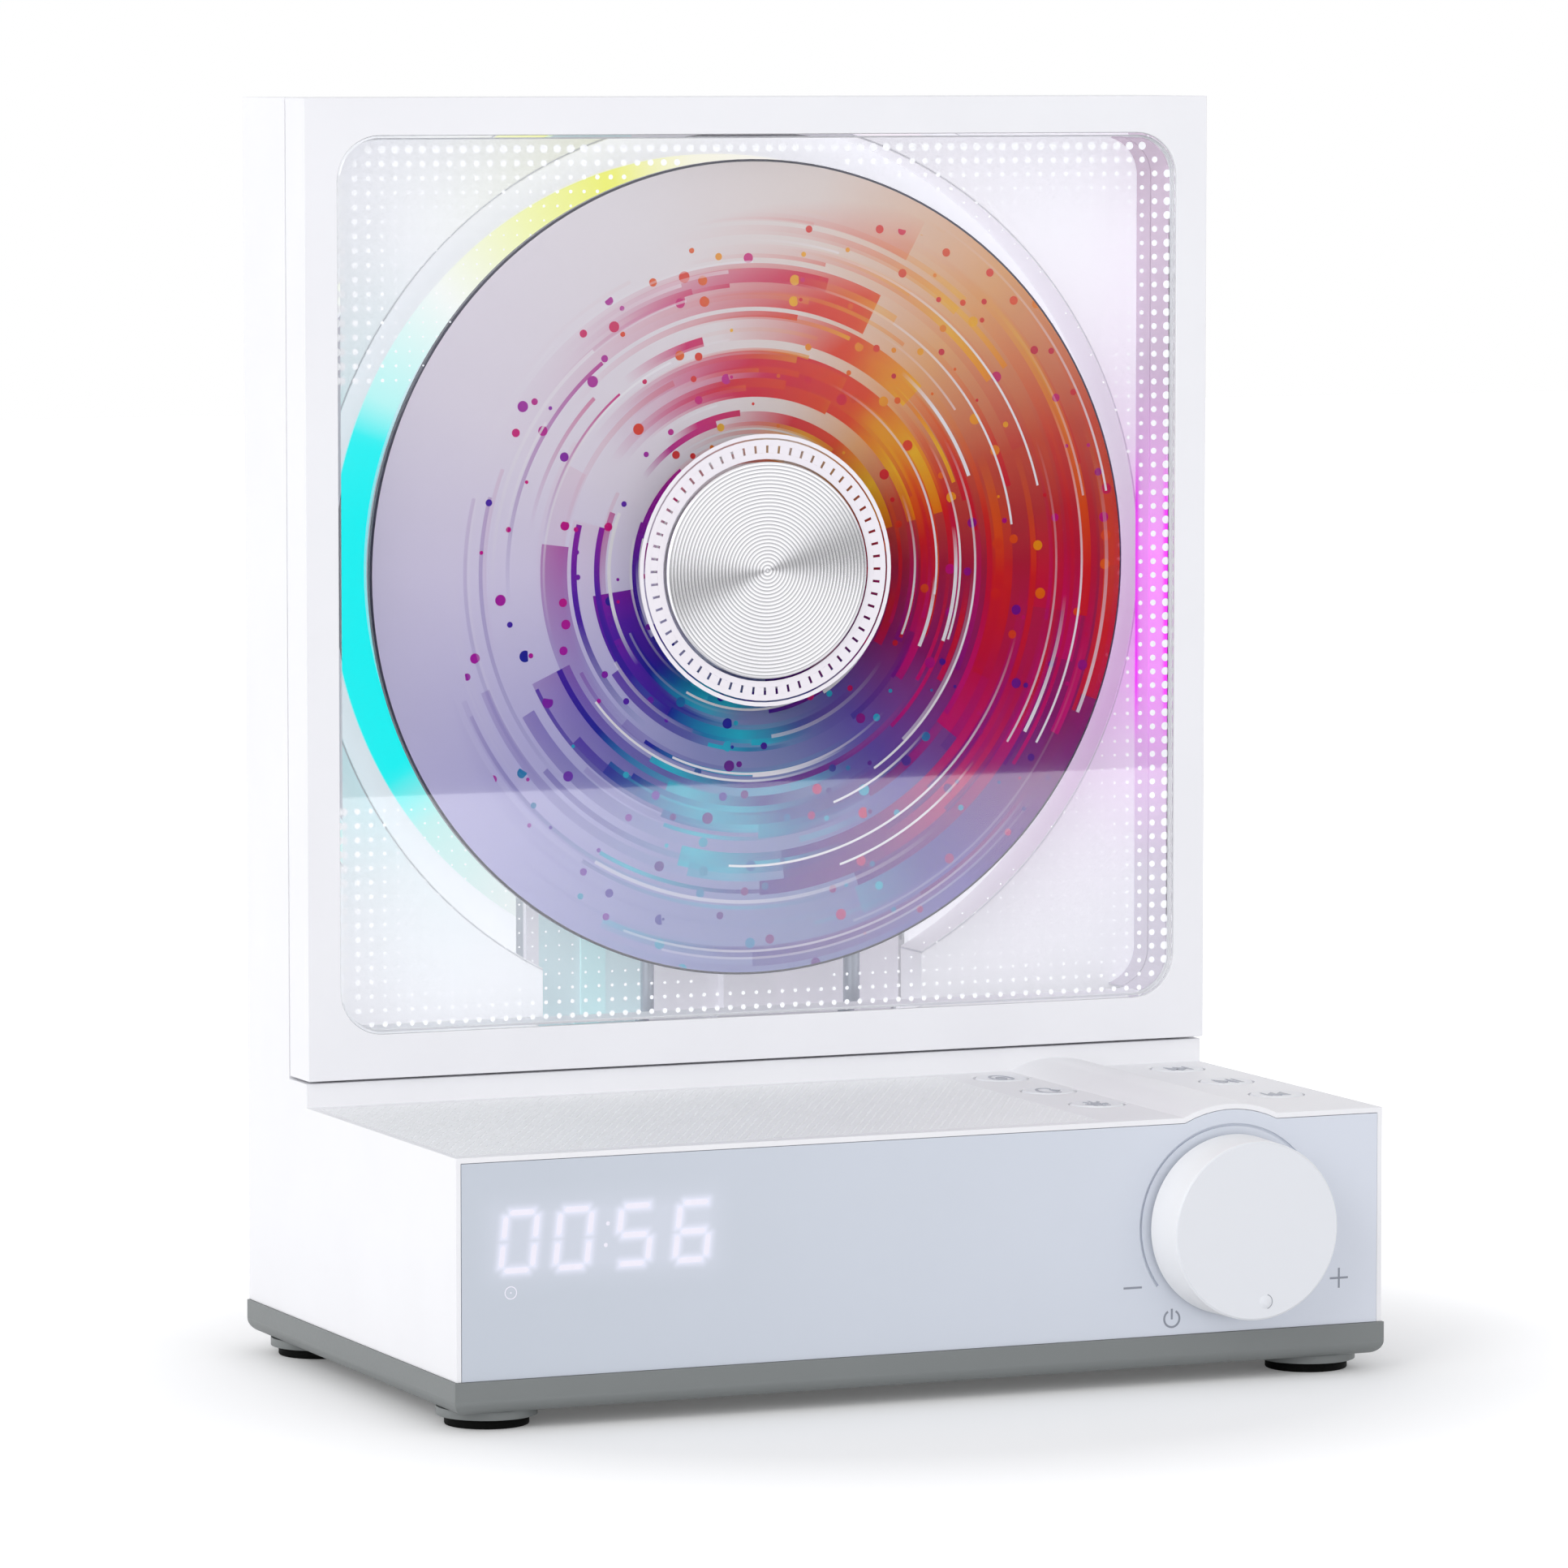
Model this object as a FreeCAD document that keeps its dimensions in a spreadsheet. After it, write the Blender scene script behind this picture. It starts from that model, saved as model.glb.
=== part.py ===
import FreeCAD, Part
import os
import re
import Sketcher
from FreeCAD import Placement, Rotation, Vector

# Desktop disc player: a low console with a volume knob, six keys and two upward speakers,
# and behind it an upright tower whose windowed door closes over a vertical disc.
# X runs to the right, -Y is the front, +Z is up; the origin is on the table, at the box's centre.

SIZES = {
    # Cuts run this far past the faces they open
    "overrun": 1,
    # The disc and the round well it turns in
    "disc_radius": 60,
    "disc_hole_radius": 7.5,
    "disc_thick": 1.2,
    "well_room": 6,
    "well_wall": 0.9,
    "deck_side": 3.5,
    "deck_sill": 6,
    "deck_fit": 0.2,
    "deck_inset": 4.6,
    "deck_thick": 1.6,
    "channel_half": 30.5,
    "channel_wall": 1.2,
    "channel_sill": 1.5,
    # White housing
    "wall": 2,
    "console_depth": 59.75,
    "console_height": 31.2,
    "ledge_height": 3.85,
    "arch_rise": 1.7,
    "knob_side": 24.3,
    "rim": 0.8,
    "boss_half": 3.5,
    "boss_depth": 8,
    "boss_low_rise": 9,
    "boss_mid_rise": 10,
    "boss_high_drop": 8,
    "base_screw_inset": 22,
    "key_post_radius": 2.5,
    # Screws that hold the rear cover and the base plate
    "screw_radius": 1.2,
    "screw_length": 8,
    "screw_head_radius": 2.4,
    "screw_head_height": 1.3,
    "screw_fit": 0.05,
    # Base plate and its feet
    "base_thick": 4.7,
    "base_round": 2,
    "base_proud": 0.3,
    "foot_boss_radius": 7.1,
    "foot_boss_height": 1.2,
    "foot_pad_radius": 5.95,
    "foot_pad_height": 1.4,
    "foot_side": 7.8,
    "foot_end": 8.6,
    "standoff_radius": 3,
    "standoff_height": 2,
    "standoff_inset": 6,
    # Rear cover
    "rear_thick": 2,
    "rear_fit": 0.15,
    # Front panel, with the groove round the knob
    "panel_thick": 1.8,
    "panel_fit": 0.05,
    "groove_gap": 1.26,
    "groove_width": 0.4,
    "groove_depth": 0.4,
    # Display behind the panel
    "display_width": 37,
    "display_height": 15,
    "display_thick": 5.5,
    "display_side": 3.6,
    # Volume control
    "knob_reach": 8.9,
    "knob_radius": 13,
    "knob_taper": 0.2,
    "knob_round": 0.25,
    "knob_gap": 0.8,
    "knob_skin": 2.2,
    "knob_side_wall": 2.3,
    "knob_hub_radius": 5.2,
    "knob_travel": 0.5,
    "knob_clear": 0.3,
    "pip_radius": 1,
    "pip_height": 0.35,
    "pip_side": 1.4,
    "pip_reach": 10.2,
    "shaft_radius": 3,
    "shaft_fit": 0.05,
    "shaft_rear": 4,
    "bush_radius": 3.5,
    "bush_reach": 2.4,
    "nut_across": 4.8,
    "nut_thick": 1.5,
    "encoder_half": 6,
    "encoder_depth": 8,
    "encoder_back_wall": 1.1,
    "plunger_radius": 1.5,
    "plunger_length": 1.8,
    # Keys on the console top, their board and switches
    "key_radius": 3.9,
    "key_gap": 0.3,
    "key_margin": 0.7,
    "key_proud": 0.1,
    "key_dish": 0.25,
    "key_flange_lap": 0.5,
    "key_flange_thick": 0.8,
    "key_flange_gap": 0.2,
    "key_travel": 0.6,
    "key_touch": 0.05,
    "key_row_inset": 7.4,
    "key_row_pitch": 16.5,
    "switch_half": 3,
    "switch_height": 3.4,
    "switch_stem_radius": 1.6,
    "switch_stem_height": 0.4,
    "key_board_border": 1.6,
    "board_thick": 1.6,
    # Speaker grille
    "grille_thick": 0.8,
    "grille_border": 1.1,
    "grille_gap": 2.8,
    "grille_back": 2,
    "grille_hole_radius": 0.9,
    "grille_pitch": 5.2,
    # Speakers
    "speaker_apart": 7,
    "flange_width": 1.6,
    "speaker_flange_thick": 1.2,
    "speaker_gap": 2.7,
    "speaker_room": 3.7,
    "speaker_side_share": 0.25,
    "basket_wall": 0.8,
    "basket_depth": 5.5,
    "magnet_radius": 11,
    "magnet_height": 8,
    "yoke_thick": 2,
    "pole_radius": 5.6,
    "coil_gap": 0.4,
    "coil_thick": 0.6,
    "coil_reach": 2.5,
    "cone_gap": 0.3,
    "cone_thick": 0.6,
    "cone_drop": 3.2,
    "cone_travel": 0.8,
    "roll_width": 2.9,
    "roll_height": 1.2,
    "dust_cap_height": 1.8,
    # Main board, battery and sockets
    "main_board_side": 8.5,
    "main_board_front": 12,
    "main_board_rear": 1.2,
    "chip_half": 6,
    "chip_height": 1.4,
    "cell_radius": 9.2,
    "cell_length": 65,
    "cell_nub_radius": 3,
    "cell_nub_length": 1.2,
    "cell_fit": 0.15,
    "cell_floor": 1.2,
    "holder_wall": 1.6,
    "holder_height": 8,
    "holder_rear": 1.5,
    "holder_gap": 7.58,
    "socket_gap": 3.83,
    "socket_half_width": 4.47,
    "socket_height": 3.26,
    "socket_length": 7.4,
    "socket_skin": 0.35,
    "socket_back_wall": 1,
    "socket_inset": 0.8,
    "socket_tongue_inset": 1,
    "socket_tongue_thick": 0.7,
    "socket_tongue_half": 3.3,
    "socket_fit": 0.3,
    "jack_gap": 0.3,
    "jack_half": 3.2,
    "jack_height": 6,
    "jack_length": 12,
    "jack_nose_radius": 2.9,
    "jack_bore_radius": 1.8,
    "jack_bore_depth": 13,
    # Door and its window
    "door_proud": 0.95,
    "door_thick": 8.4,
    "door_gap": 0.4,
    "frame_side": 5,
    "frame_top": 5.4,
    "frame_bottom": 6.4,
    "window_round": 6.5,
    "pane_thick": 2,
    "pane_lip": 0.6,
    "pane_fit": 0.05,
    "cap_radius": 15.9,
    "cap_thick": 0.6,
    "cap_round": 0.2,
    # Hinge on the right, catch magnets on the left
    "hinge_round": 3.2,
    "lug_half": 2.2,
    "lug_height": 6,
    "lug_inset": 22,
    "lug_gap": 0.5,
    "lug_rear_gap": 0.3,
    "pin_radius": 1,
    "pin_overlap": 4,
    "pin_fit": 0.05,
    "catch_length": 8,
    "catch_width": 3,
    "catch_thick": 2,
    "catch_inset": 28,
    # Disc clamp carried by the window
    "clamp_depth": 3.7,
    "clamp_gap": 0.2,
    "retainer_inset": 0.3,
    "retainer_wall": 1,
    "retainer_lip": 0.8,
    "retainer_height": 2.7,
    "clamp_play": 0.4,
    "clamp_flange_thick": 0.8,
    "clamp_neck_radius": 11,
    "clamp_pad_radius": 13.5,
    "nose_room": 0.5,
    "nose_depth": 1.3,
    "clamp_magnet_radius": 5.5,
    "clamp_magnet_thick": 0.7,
    # Spindle
    "nose_fit": 0.1,
    "nose_reach": 0.9,
    "nose_bevel": 0.7,
    "table_radius": 15,
    "table_thick": 3,
    "mat_thick": 0.5,
    "mat_gap": 1.6,
    "spindle_radius": 1,
    "spindle_depth": 7,
    "spindle_fit": 0.05,
    "motor_gap": 0.8,
    "motor_radius": 12,
    "motor_length": 9.9,
    "motor_step": 1,
    "motor_boss_radius": 6,
    # Mechanism plate and its rubber bushes
    "chassis_thick": 1.2,
    "chassis_fit": 0.4,
    "damper_length": 2.4,
    "damper_radius": 4,
    "damper_neck_radius": 3,
    "damper_edge": 2.9,
    # Light ring in the well's floor
    "light_width": 10.6,
    "light_thick": 1.4,
    "led_board_thick": 1,
    "led_half": 1.6,
    "led_height": 0.8,
    # Pickup, its rod, screw, motor and ribbon
    "sled_gap": 1,
    "sled_up": 8,
    "sled_down": 9,
    "sled_rod_wall": 4,
    "sled_screw_wall": 5,
    "sled_front_gap": 2.9,
    "sled_back_gap": 2.4,
    "rod_x": 13,
    "rod_radius": 1,
    "rod_fit": 0.05,
    "rod_inset": 5.4,
    "lead_radius": 1.25,
    "lead_fit": 0.1,
    "bracket_half": 2.4,
    "bracket_depth": 2.4,
    "sled_motor_length": 11,
    "sled_motor_gap": 0.3,
    "lead_grip": 5.5,
    "lead_end_gap": 1.8,
    "rail_left": 0.7,
    "rail_width": 8.6,
    "rail_thick": 2,
    "holder_half_x": 6,
    "holder_half_z": 4,
    "holder_front_gap": 2.2,
    "holder_thick": 3,
    "holder_room": 0.8,
    "lens_radius": 2.3,
    "lens_dome": 0.6,
    "lens_fit": 0.05,
    "ribbon_left": 21.5,
    "ribbon_width": 3.9,
    "ribbon_thick": 0.3,
    "ribbon_rise": 36,
}
SIDES = {"left": "-1", "right": "1"}
LEVELS = {"low": "-1", "high": "1"}
KEY_NAMES = {
    ("left", 0): "key_mode",
    ("left", 1): "key_repeat",
    ("left", 2): "key_light",
    ("right", 0): "key_next",
    ("right", 1): "key_play",
    ("right", 2): "key_previous",
}
GROOVE_SWEEP = 252
STRAIGHT_SHARE = 0.99
LAMP_TURNS = range(-30, 211, 20)
PIP_SHARES = ((0.4, 0.15), (0.7, 0.47), (0.9, 0.8))
ROLL_SHARES = ((0.25, 0.8), (0.5, 1), (0.75, 0.8))
LENS_DOME_SHARES = (0.5, 0.75)

# Places worked out from the sizes above
PLACES = {
    "well_radius": "disc_radius + well_room",
    "inner_x": "well_radius + deck_side",
    "half_width": "inner_x + wall",
    "body_depth": "console_depth - door_proud + pane_thick + clamp_depth + disc_thick + table_thick"
                  " + motor_gap + motor_length + chassis_thick + damper_length + rear_thick",
    "knob_hub_length": "knob_reach - pip_height - knob_skin - bush_reach - knob_travel - knob_clear",
    "front_y": "-(body_depth - knob_reach) / 2",
    "back_y": "front_y + body_depth",
    "rear_y": "back_y - rear_thick",
    "ledge_y": "front_y + console_depth",
    "door_front_y": "ledge_y - door_proud",
    "pane_back_y": "door_front_y + pane_thick",
    "disc_front_y": "pane_back_y + clamp_depth",
    "disc_back_y": "disc_front_y + disc_thick",
    "table_back_y": "disc_back_y + table_thick",
    "motor_front_y": "table_back_y + motor_gap",
    "chassis_y": "motor_front_y + motor_length",
    "chassis_back_y": "chassis_y + chassis_thick",
    "seam_y": "door_front_y + door_thick",
    "door_back_y": "seam_y - door_gap",
    "deck_y": "seam_y + deck_inset",
    "base_bottom_z": "foot_pad_height + foot_boss_height",
    "base_top_z": "base_bottom_z + base_thick",
    "console_top_z": "base_top_z + console_height",
    "ceiling_z": "console_top_z - wall",
    "door_bottom_z": "console_top_z + ledge_height",
    "ledge_top_z": "door_bottom_z - door_gap",
    "spindle_z": "door_bottom_z + deck_sill + well_radius",
    "top_z": "spindle_z + well_radius + well_wall + deck_fit + wall",
    "tower_top_z": "top_z - wall",
    "knob_x": "half_width - knob_side",
    "knob_z": "base_top_z + console_height / 2",
    "arch_radius": "console_height / 2 + arch_rise",
    "ridge_half": "sqrt(arch_radius ^ 2 - (console_height / 2) ^ 2)",
    "panel_back_y": "front_y + panel_thick",
    "groove_radius": "knob_radius + groove_gap",
    "key_flange_radius": "key_radius + key_gap + key_flange_lap",
    "key_right_x": "inner_x - key_margin - key_flange_radius",
    "key_left_x": "knob_x - ridge_half - key_margin - key_radius",
    "key_flange_bottom_z": "ceiling_z - key_flange_gap - key_flange_thick",
    "switch_top_z": "key_flange_bottom_z - key_travel - key_touch",
    "key_board_top_z": "switch_top_z - switch_stem_height - switch_height",
    "grille_left_x": "-half_width + grille_border",
    "grille_right_x": "key_left_x - key_flange_radius - grille_gap",
    "grille_front_y": "panel_back_y + rim",
    "grille_back_y": "ledge_y - grille_back",
    "speaker_inset": "speaker_side_share * (grille_right_x - grille_left_x)",
    "speaker_flange_radius": "speaker_inset - speaker_apart / 2",
    "basket_radius": "speaker_flange_radius - flange_width",
    "basket_taper": "ceiling_z - basket_depth - magnet_height - speaker_room - board_top_z - chip_height",
    "coil_radius": "pole_radius + coil_gap",
    "magnet_gap_radius": "coil_radius + coil_thick + coil_gap",
    "magnet_gap_depth": "magnet_height - yoke_thick",
    "cone_neck": "basket_wall + cone_travel",
    "speaker_y": "panel_back_y + display_thick + speaker_gap + speaker_flange_radius",
    "speaker_left_x": "grille_left_x + speaker_inset",
    "speaker_right_x": "grille_right_x - speaker_inset",
    "board_z": "base_top_z + standoff_height",
    "board_top_z": "board_z + board_thick",
    "board_half": "half_width - main_board_side - wall",
    "board_front_y": "front_y + main_board_front",
    "board_back_y": "rear_y - main_board_rear",
    "holder_half": "cell_length / 2 + cell_nub_length + holder_wall + cell_fit",
    "cell_x": "socket_x - socket_half_width - holder_gap - holder_half",
    "cell_y": "rear_y - holder_rear - holder_wall - cell_radius - cell_fit",
    "cell_z": "board_top_z + cell_floor + cell_fit + cell_radius",
    "socket_x": "jack_x - jack_half - socket_gap - socket_half_width",
    "socket_z": "board_top_z + socket_height / 2",
    "jack_x": "boss_x - boss_half - jack_gap - jack_half",
    "jack_z": "board_top_z + jack_height / 2",
    "boss_x": "inner_x - boss_half",
    "retainer_radius": "cap_radius - retainer_inset",
    "nose_radius": "disc_hole_radius - nose_fit",
    "mat_inner_radius": "nose_radius + mat_gap",
    "light_inner_radius": "well_radius - light_width",
    "chassis_radius": "light_inner_radius - chassis_fit",
    "damper_spread": "(chassis_radius - damper_radius - damper_edge) / sqrt(2)",
    "hinge_x": "half_width - hinge_round",
    "hinge_y": "door_back_y - hinge_round",
    "window_half": "half_width - frame_side",
    "window_low_z": "door_bottom_z + frame_bottom",
    "window_high_z": "top_z - frame_top",
    "channel_low_z": "ledge_top_z + channel_sill",
    "lens_z": "spindle_z - table_radius - sled_gap - sled_up",
    "sled_front_y": "disc_back_y + sled_front_gap",
    "sled_back_y": "chassis_y - sled_back_gap",
    "rod_y": "chassis_y - rod_inset",
    "sled_motor_radius": "rod_inset - chassis_fit",
    "screw_x": "table_radius + sled_motor_radius",
    "sled_left": "rod_x + sled_rod_wall",
    "sled_right": "screw_x + sled_screw_wall",
    "rod_low_z": "channel_low_z + chassis_fit",
    "rod_high_z": "lens_z + sled_up + sled_gap + bracket_depth",
}

doc = FreeCAD.newDocument("disc_player")
sheet = doc.addObject("Spreadsheet::Sheet", "sizes")
for row, (alias, size) in enumerate(SIZES.items(), start=1):
    sheet.set(f"A{row}", alias)
    sheet.set(f"B{row}", str(size))
    sheet.setAlias(f"B{row}", alias)
doc.recompute()

ALONG = {
    "X": Rotation(Vector(0, 1, 0), 90),
    "Y": Rotation(Vector(1, 0, 0), -90),
    "-Y": Rotation(Vector(1, 0, 0), 90),
    "Z": Rotation(),
    "-Z": Rotation(Vector(1, 0, 0), 180),
}
nodes = []


def written_out(text):
    """Spells a formula in the sheet's cells; a derived place becomes its own formula in brackets."""
    def spell(match):
        word = match.group(0)
        if word in SIZES:
            return f"sizes.{word}"
        if word in PLACES:
            return f"({written_out(PLACES[word])})"
        return word
    return re.sub(r"[a-z_]+", spell, text)


def number(text):
    """A formula's value in millimetres."""
    return float(sheet.evalExpression(written_out(text)))


def bind(item, **formulas):
    for name, formula in formulas.items():
        item.setExpression(name, written_out(formula))


def put(item, at, axis="Z"):
    """Turns an item's own Z to an axis and binds its place."""
    item.Placement = Placement(Vector(), ALONG[axis])
    for letter, formula in zip("xyz", at):
        item.setExpression(f"Placement.Base.{letter}", written_out(formula))
    return item


def box(name, x, y, z):
    """A block between two formulas on each axis."""
    item = doc.addObject("Part::Box", name)
    bind(item, Length=f"{x[1]} - ({x[0]})", Width=f"{y[1]} - ({y[0]})", Height=f"{z[1]} - ({z[0]})")
    return put(item, (x[0], y[0], z[0]))


def rod(name, axis, at, radius, length):
    """A round bar that starts at a point and runs along an axis."""
    item = doc.addObject("Part::Cylinder", name)
    bind(item, Radius=radius, Height=length)
    return put(item, at, axis)


def upper_half_rod(name, at, radius, length):
    """The upper half of a round bar that runs forward from a point."""
    item = rod(name, "-Y", at, radius, length)
    item.Angle = 180
    return item


def union(name, *pieces):
    item = doc.addObject("Part::MultiFuse", name)
    item.Shapes = list(pieces)
    item.Refine = True
    return item


def cut(name, base, *tools):
    item = doc.addObject("Part::Cut", name)
    item.Base = base
    item.Tool = tools[0] if len(tools) == 1 else union(f"{name}_tools", *tools)
    return item


def group(name, pieces):
    """Like pieces that share one node as separate solids."""
    item = doc.addObject("Part::Compound", name)
    item.Links = list(pieces)
    return item


def node(item, label):
    """Marks a finished sub-part; its label names its file."""
    item.Label = label
    nodes.append(item)
    return item


def sketch_in(body, name, plane, offset):
    """A sketch on one of the body's own origin planes, moved along that plane's normal."""
    sketch = body.newObject("Sketcher::SketchObject", name)
    origin_plane = next(item for item in body.Origin.OriginFeatures if item.Role == plane)
    sketch.AttachmentSupport = [(origin_plane, "")]
    sketch.MapMode = "FlatFace"
    sketch.setExpression("AttachmentOffset.Base.z", written_out(offset))
    return sketch


def hold(sketch, kind, place, formula):
    """Adds one dimension to a sketch and binds it."""
    index = sketch.addConstraint(Sketcher.Constraint(kind, *place, number(formula)))
    sketch.setExpression(f"Constraints[{index}]", written_out(formula))


def draw_outline(sketch, points):
    """A closed outline of straight sides, held at every corner."""
    corners = [Vector(number(u), number(v), 0) for u, v in points]
    following = corners[1:] + corners[:1]
    for start, end in zip(corners, following):
        sketch.addGeometry(Part.LineSegment(start, end), False)
    for index in range(len(points)):
        after = (index + 1) % len(points)
        sketch.addConstraint(Sketcher.Constraint("Coincident", index, 2, after, 1))
    for index, (u, v) in enumerate(points):
        hold(sketch, "DistanceX", (-1, 1, index, 1), u)
        hold(sketch, "DistanceY", (-1, 1, index, 1), v)


def draw_circles(sketch, centres, radius):
    for index, (u, v) in enumerate(centres):
        circle = Part.Circle(Vector(number(u), number(v), 0), Vector(0, 0, 1), number(radius))
        sketch.addGeometry(circle, False)
        hold(sketch, "DistanceX", (-1, 1, index, 3), u)
        hold(sketch, "DistanceY", (-1, 1, index, 3), v)
        hold(sketch, "Radius", (index,), radius)


def pad(body, sketch, length, backwards=False):
    feature = body.newObject("PartDesign::Pad", f"{sketch.Name}_pad")
    feature.Profile = sketch
    feature.Reversed = backwards
    bind(feature, Length=length)
    return feature


def pocket(body, sketch, length, backwards=False):
    feature = body.newObject("PartDesign::Pocket", f"{sketch.Name}_pocket")
    feature.Profile = sketch
    feature.Reversed = backwards
    bind(feature, Length=length)
    return feature


def rounded(body, base, keep, radius):
    """Rounds the edges of a body's last feature that a test picks."""
    doc.recompute()
    edges = [f"Edge{i}" for i, edge in enumerate(base.Shape.Edges, start=1) if keep(edge)]
    feature = body.newObject("PartDesign::Fillet", f"{base.Name}_round")
    feature.Base = (base, edges)
    bind(feature, Radius=radius)
    return feature


def turned(name, axis, at, profile):
    """A turned piece: a profile of (radius, distance along the axis) swept once round."""
    body = doc.addObject("PartDesign::Body", name)
    sketch = sketch_in(body, f"{name}_profile", "XZ_Plane", "0")
    draw_outline(sketch, profile)
    feature = body.newObject("PartDesign::Revolution", f"{name}_turn")
    feature.Profile = sketch
    feature.ReferenceAxis = (sketch, ["V_Axis"])
    feature.Angle = 360
    return put(body, at, axis)


def ring(name, axis, at, inner, outer, length):
    """A turned ring of rectangular section."""
    return turned(name, axis, at, [(inner, "0"), (outer, "0"), (outer, length), (inner, length)])


def runs_along_y(edge):
    return abs(edge.tangentAt(edge.FirstParameter).y) > STRAIGHT_SHARE


def rounded_slab(name, x, y, z, radius):
    """An upright slab whose four corners are rounded, seen from the front."""
    body = doc.addObject("PartDesign::Body", name)
    sketch = sketch_in(body, f"{name}_outline", "XZ_Plane", f"-({y[0]})")
    draw_outline(sketch, [(x[0], z[0]), (x[1], z[0]), (x[1], z[1]), (x[0], z[1])])
    slab = pad(body, sketch, f"{y[1]} - ({y[0]})", backwards=True)
    rounded(body, slab, runs_along_y, radius)
    return body


def both_sides(formula):
    return (f"-({formula})", formula)


def about(centre, half):
    return (f"{centre} - ({half})", f"{centre} + {half}")


# White housing: console, ledge and tower in one moulding, open in front, behind and below
SPAN = both_sides("half_width")
INSIDE = both_sides("inner_x")
rear_screw_places = [
    (f"{side} * boss_x", height)
    for side in SIDES.values()
    for height in (
        "base_top_z + boss_low_rise", "door_bottom_z + boss_mid_rise", "tower_top_z - boss_high_drop",
    )
]
base_screw_places = [
    (f"{side} * boss_x", depth)
    for side in SIDES.values()
    for depth in ("front_y + base_screw_inset", "back_y - base_screw_inset")
]
key_places = {
    KEY_NAMES[side, row]: (f"key_{side}_x", f"ledge_y - key_row_inset - {row} * key_row_pitch")
    for side in SIDES
    for row in range(3)
}
key_post_places = [
    ("(key_left_x + key_right_x) / 2", f"ledge_y - key_row_inset - ({row} + 0.5) * key_row_pitch")
    for row in range(2)
]
speaker_places = {side: (f"speaker_{side}_x", "speaker_y") for side in SIDES}

housing_solid = union(
    "housing_solid",
    box("housing_console", SPAN, ("front_y", "back_y"), ("base_top_z", "console_top_z")),
    box("housing_ledge", SPAN, ("ledge_y", "back_y"), ("console_top_z", "ledge_top_z")),
    box("housing_tower", SPAN, ("seam_y", "back_y"), ("ledge_top_z", "top_z")),
    upper_half_rod("housing_ridge", ("knob_x", "ledge_y", "knob_z"), "arch_radius", "console_depth"),
)
housing_shell = cut(
    "housing_shell",
    housing_solid,
    box("console_hollow", INSIDE, ("front_y - overrun", "back_y + overrun"),
        ("base_top_z - overrun", "ceiling_z")),
    box("ledge_hollow", INSIDE, ("ledge_y + wall", "back_y + overrun"), ("base_top_z", "ledge_top_z - wall")),
    box("tower_throat", INSIDE, ("seam_y", "back_y + overrun"), ("base_top_z", "ledge_top_z + overrun")),
    box("tower_hollow", INSIDE, ("seam_y - overrun", "back_y + overrun"), ("ledge_top_z", "tower_top_z")),
    box("panel_recess", both_sides("half_width - rim"), ("front_y - overrun", "panel_back_y"),
        ("base_top_z - overrun", "console_top_z - rim")),
    upper_half_rod("arch_recess", ("knob_x", "panel_back_y", "knob_z"), "arch_radius - rim",
                   "panel_thick + overrun"),
    box("grille_recess", ("grille_left_x", "grille_right_x"), ("grille_front_y", "grille_back_y"),
        ("console_top_z - grille_thick", "console_top_z + overrun")),
    *[
        rod(f"speaker_opening_{side}", "Z", (x, y, "ceiling_z - overrun"), "basket_radius - basket_wall",
            "wall + 2 * overrun")
        for side, (x, y) in speaker_places.items()
    ],
    *[
        rod(f"{name}_hole", "Z", (x, y, "ceiling_z - overrun"), "key_radius + key_gap",
            "wall + 2 * overrun")
        for name, (x, y) in key_places.items()
    ],
)
housing_bosses = [
    box(f"rear_boss_{i}", about(x, "boss_half"), ("rear_y - boss_depth", "rear_y"), about(z, "boss_half"))
    for i, (x, z) in enumerate(rear_screw_places)
]
housing_bosses += [
    box(f"base_boss_{i}", about(x, "boss_half"), about(y, "boss_half"),
        ("base_top_z", "base_top_z + boss_depth"))
    for i, (x, y) in enumerate(base_screw_places)
]
housing_bosses += [
    rod(f"key_post_{i}", "Z", (x, y, "key_board_top_z"), "key_post_radius", "ceiling_z - key_board_top_z")
    for i, (x, y) in enumerate(key_post_places)
]
screw_bores = [
    rod(f"rear_bore_{i}", "-Y", (x, "back_y", z), "screw_radius + screw_fit",
        "screw_length + screw_head_height + screw_fit")
    for i, (x, z) in enumerate(rear_screw_places)
]
screw_bores += [
    rod(f"base_bore_{i}", "Z", (x, y, "base_bottom_z"), "screw_radius + screw_fit",
        "screw_length + screw_head_height + screw_fit")
    for i, (x, y) in enumerate(base_screw_places)
]
housing_with_bosses = union("housing_with_bosses", housing_shell, *housing_bosses)
node(cut("main_housing", housing_with_bosses, *screw_bores), "main_housing")

# Rear cover: a flat moulding let in between the housing's walls, with the two sockets' openings
rear_openings = [
    rod(f"rear_head_{i}", "-Y", (x, "back_y + overrun", z), "screw_head_radius + screw_fit",
        "screw_head_height + overrun")
    for i, (x, z) in enumerate(rear_screw_places)
]
rear_openings += [
    rod(f"rear_shank_{i}", "-Y", (x, "back_y + overrun", z), "screw_radius + screw_fit",
        "rear_thick + 2 * overrun")
    for i, (x, z) in enumerate(rear_screw_places)
]
rear_openings.append(rod("jack_opening", "-Y", ("jack_x", "back_y + overrun", "jack_z"),
                         "jack_nose_radius + socket_fit", "rear_thick + 2 * overrun"))
rear_openings.append(box("socket_opening", about("socket_x", "socket_half_width + socket_fit"),
                         ("rear_y - overrun", "back_y + overrun"),
                         about("socket_z", "socket_height / 2 + socket_fit")))
node(cut(
    "rear_cover",
    box("rear_blank", both_sides("inner_x - rear_fit"), ("rear_y", "back_y"),
        ("base_top_z + rear_fit", "tower_top_z - rear_fit")),
    *rear_openings,
), "rear_cover")

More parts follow.
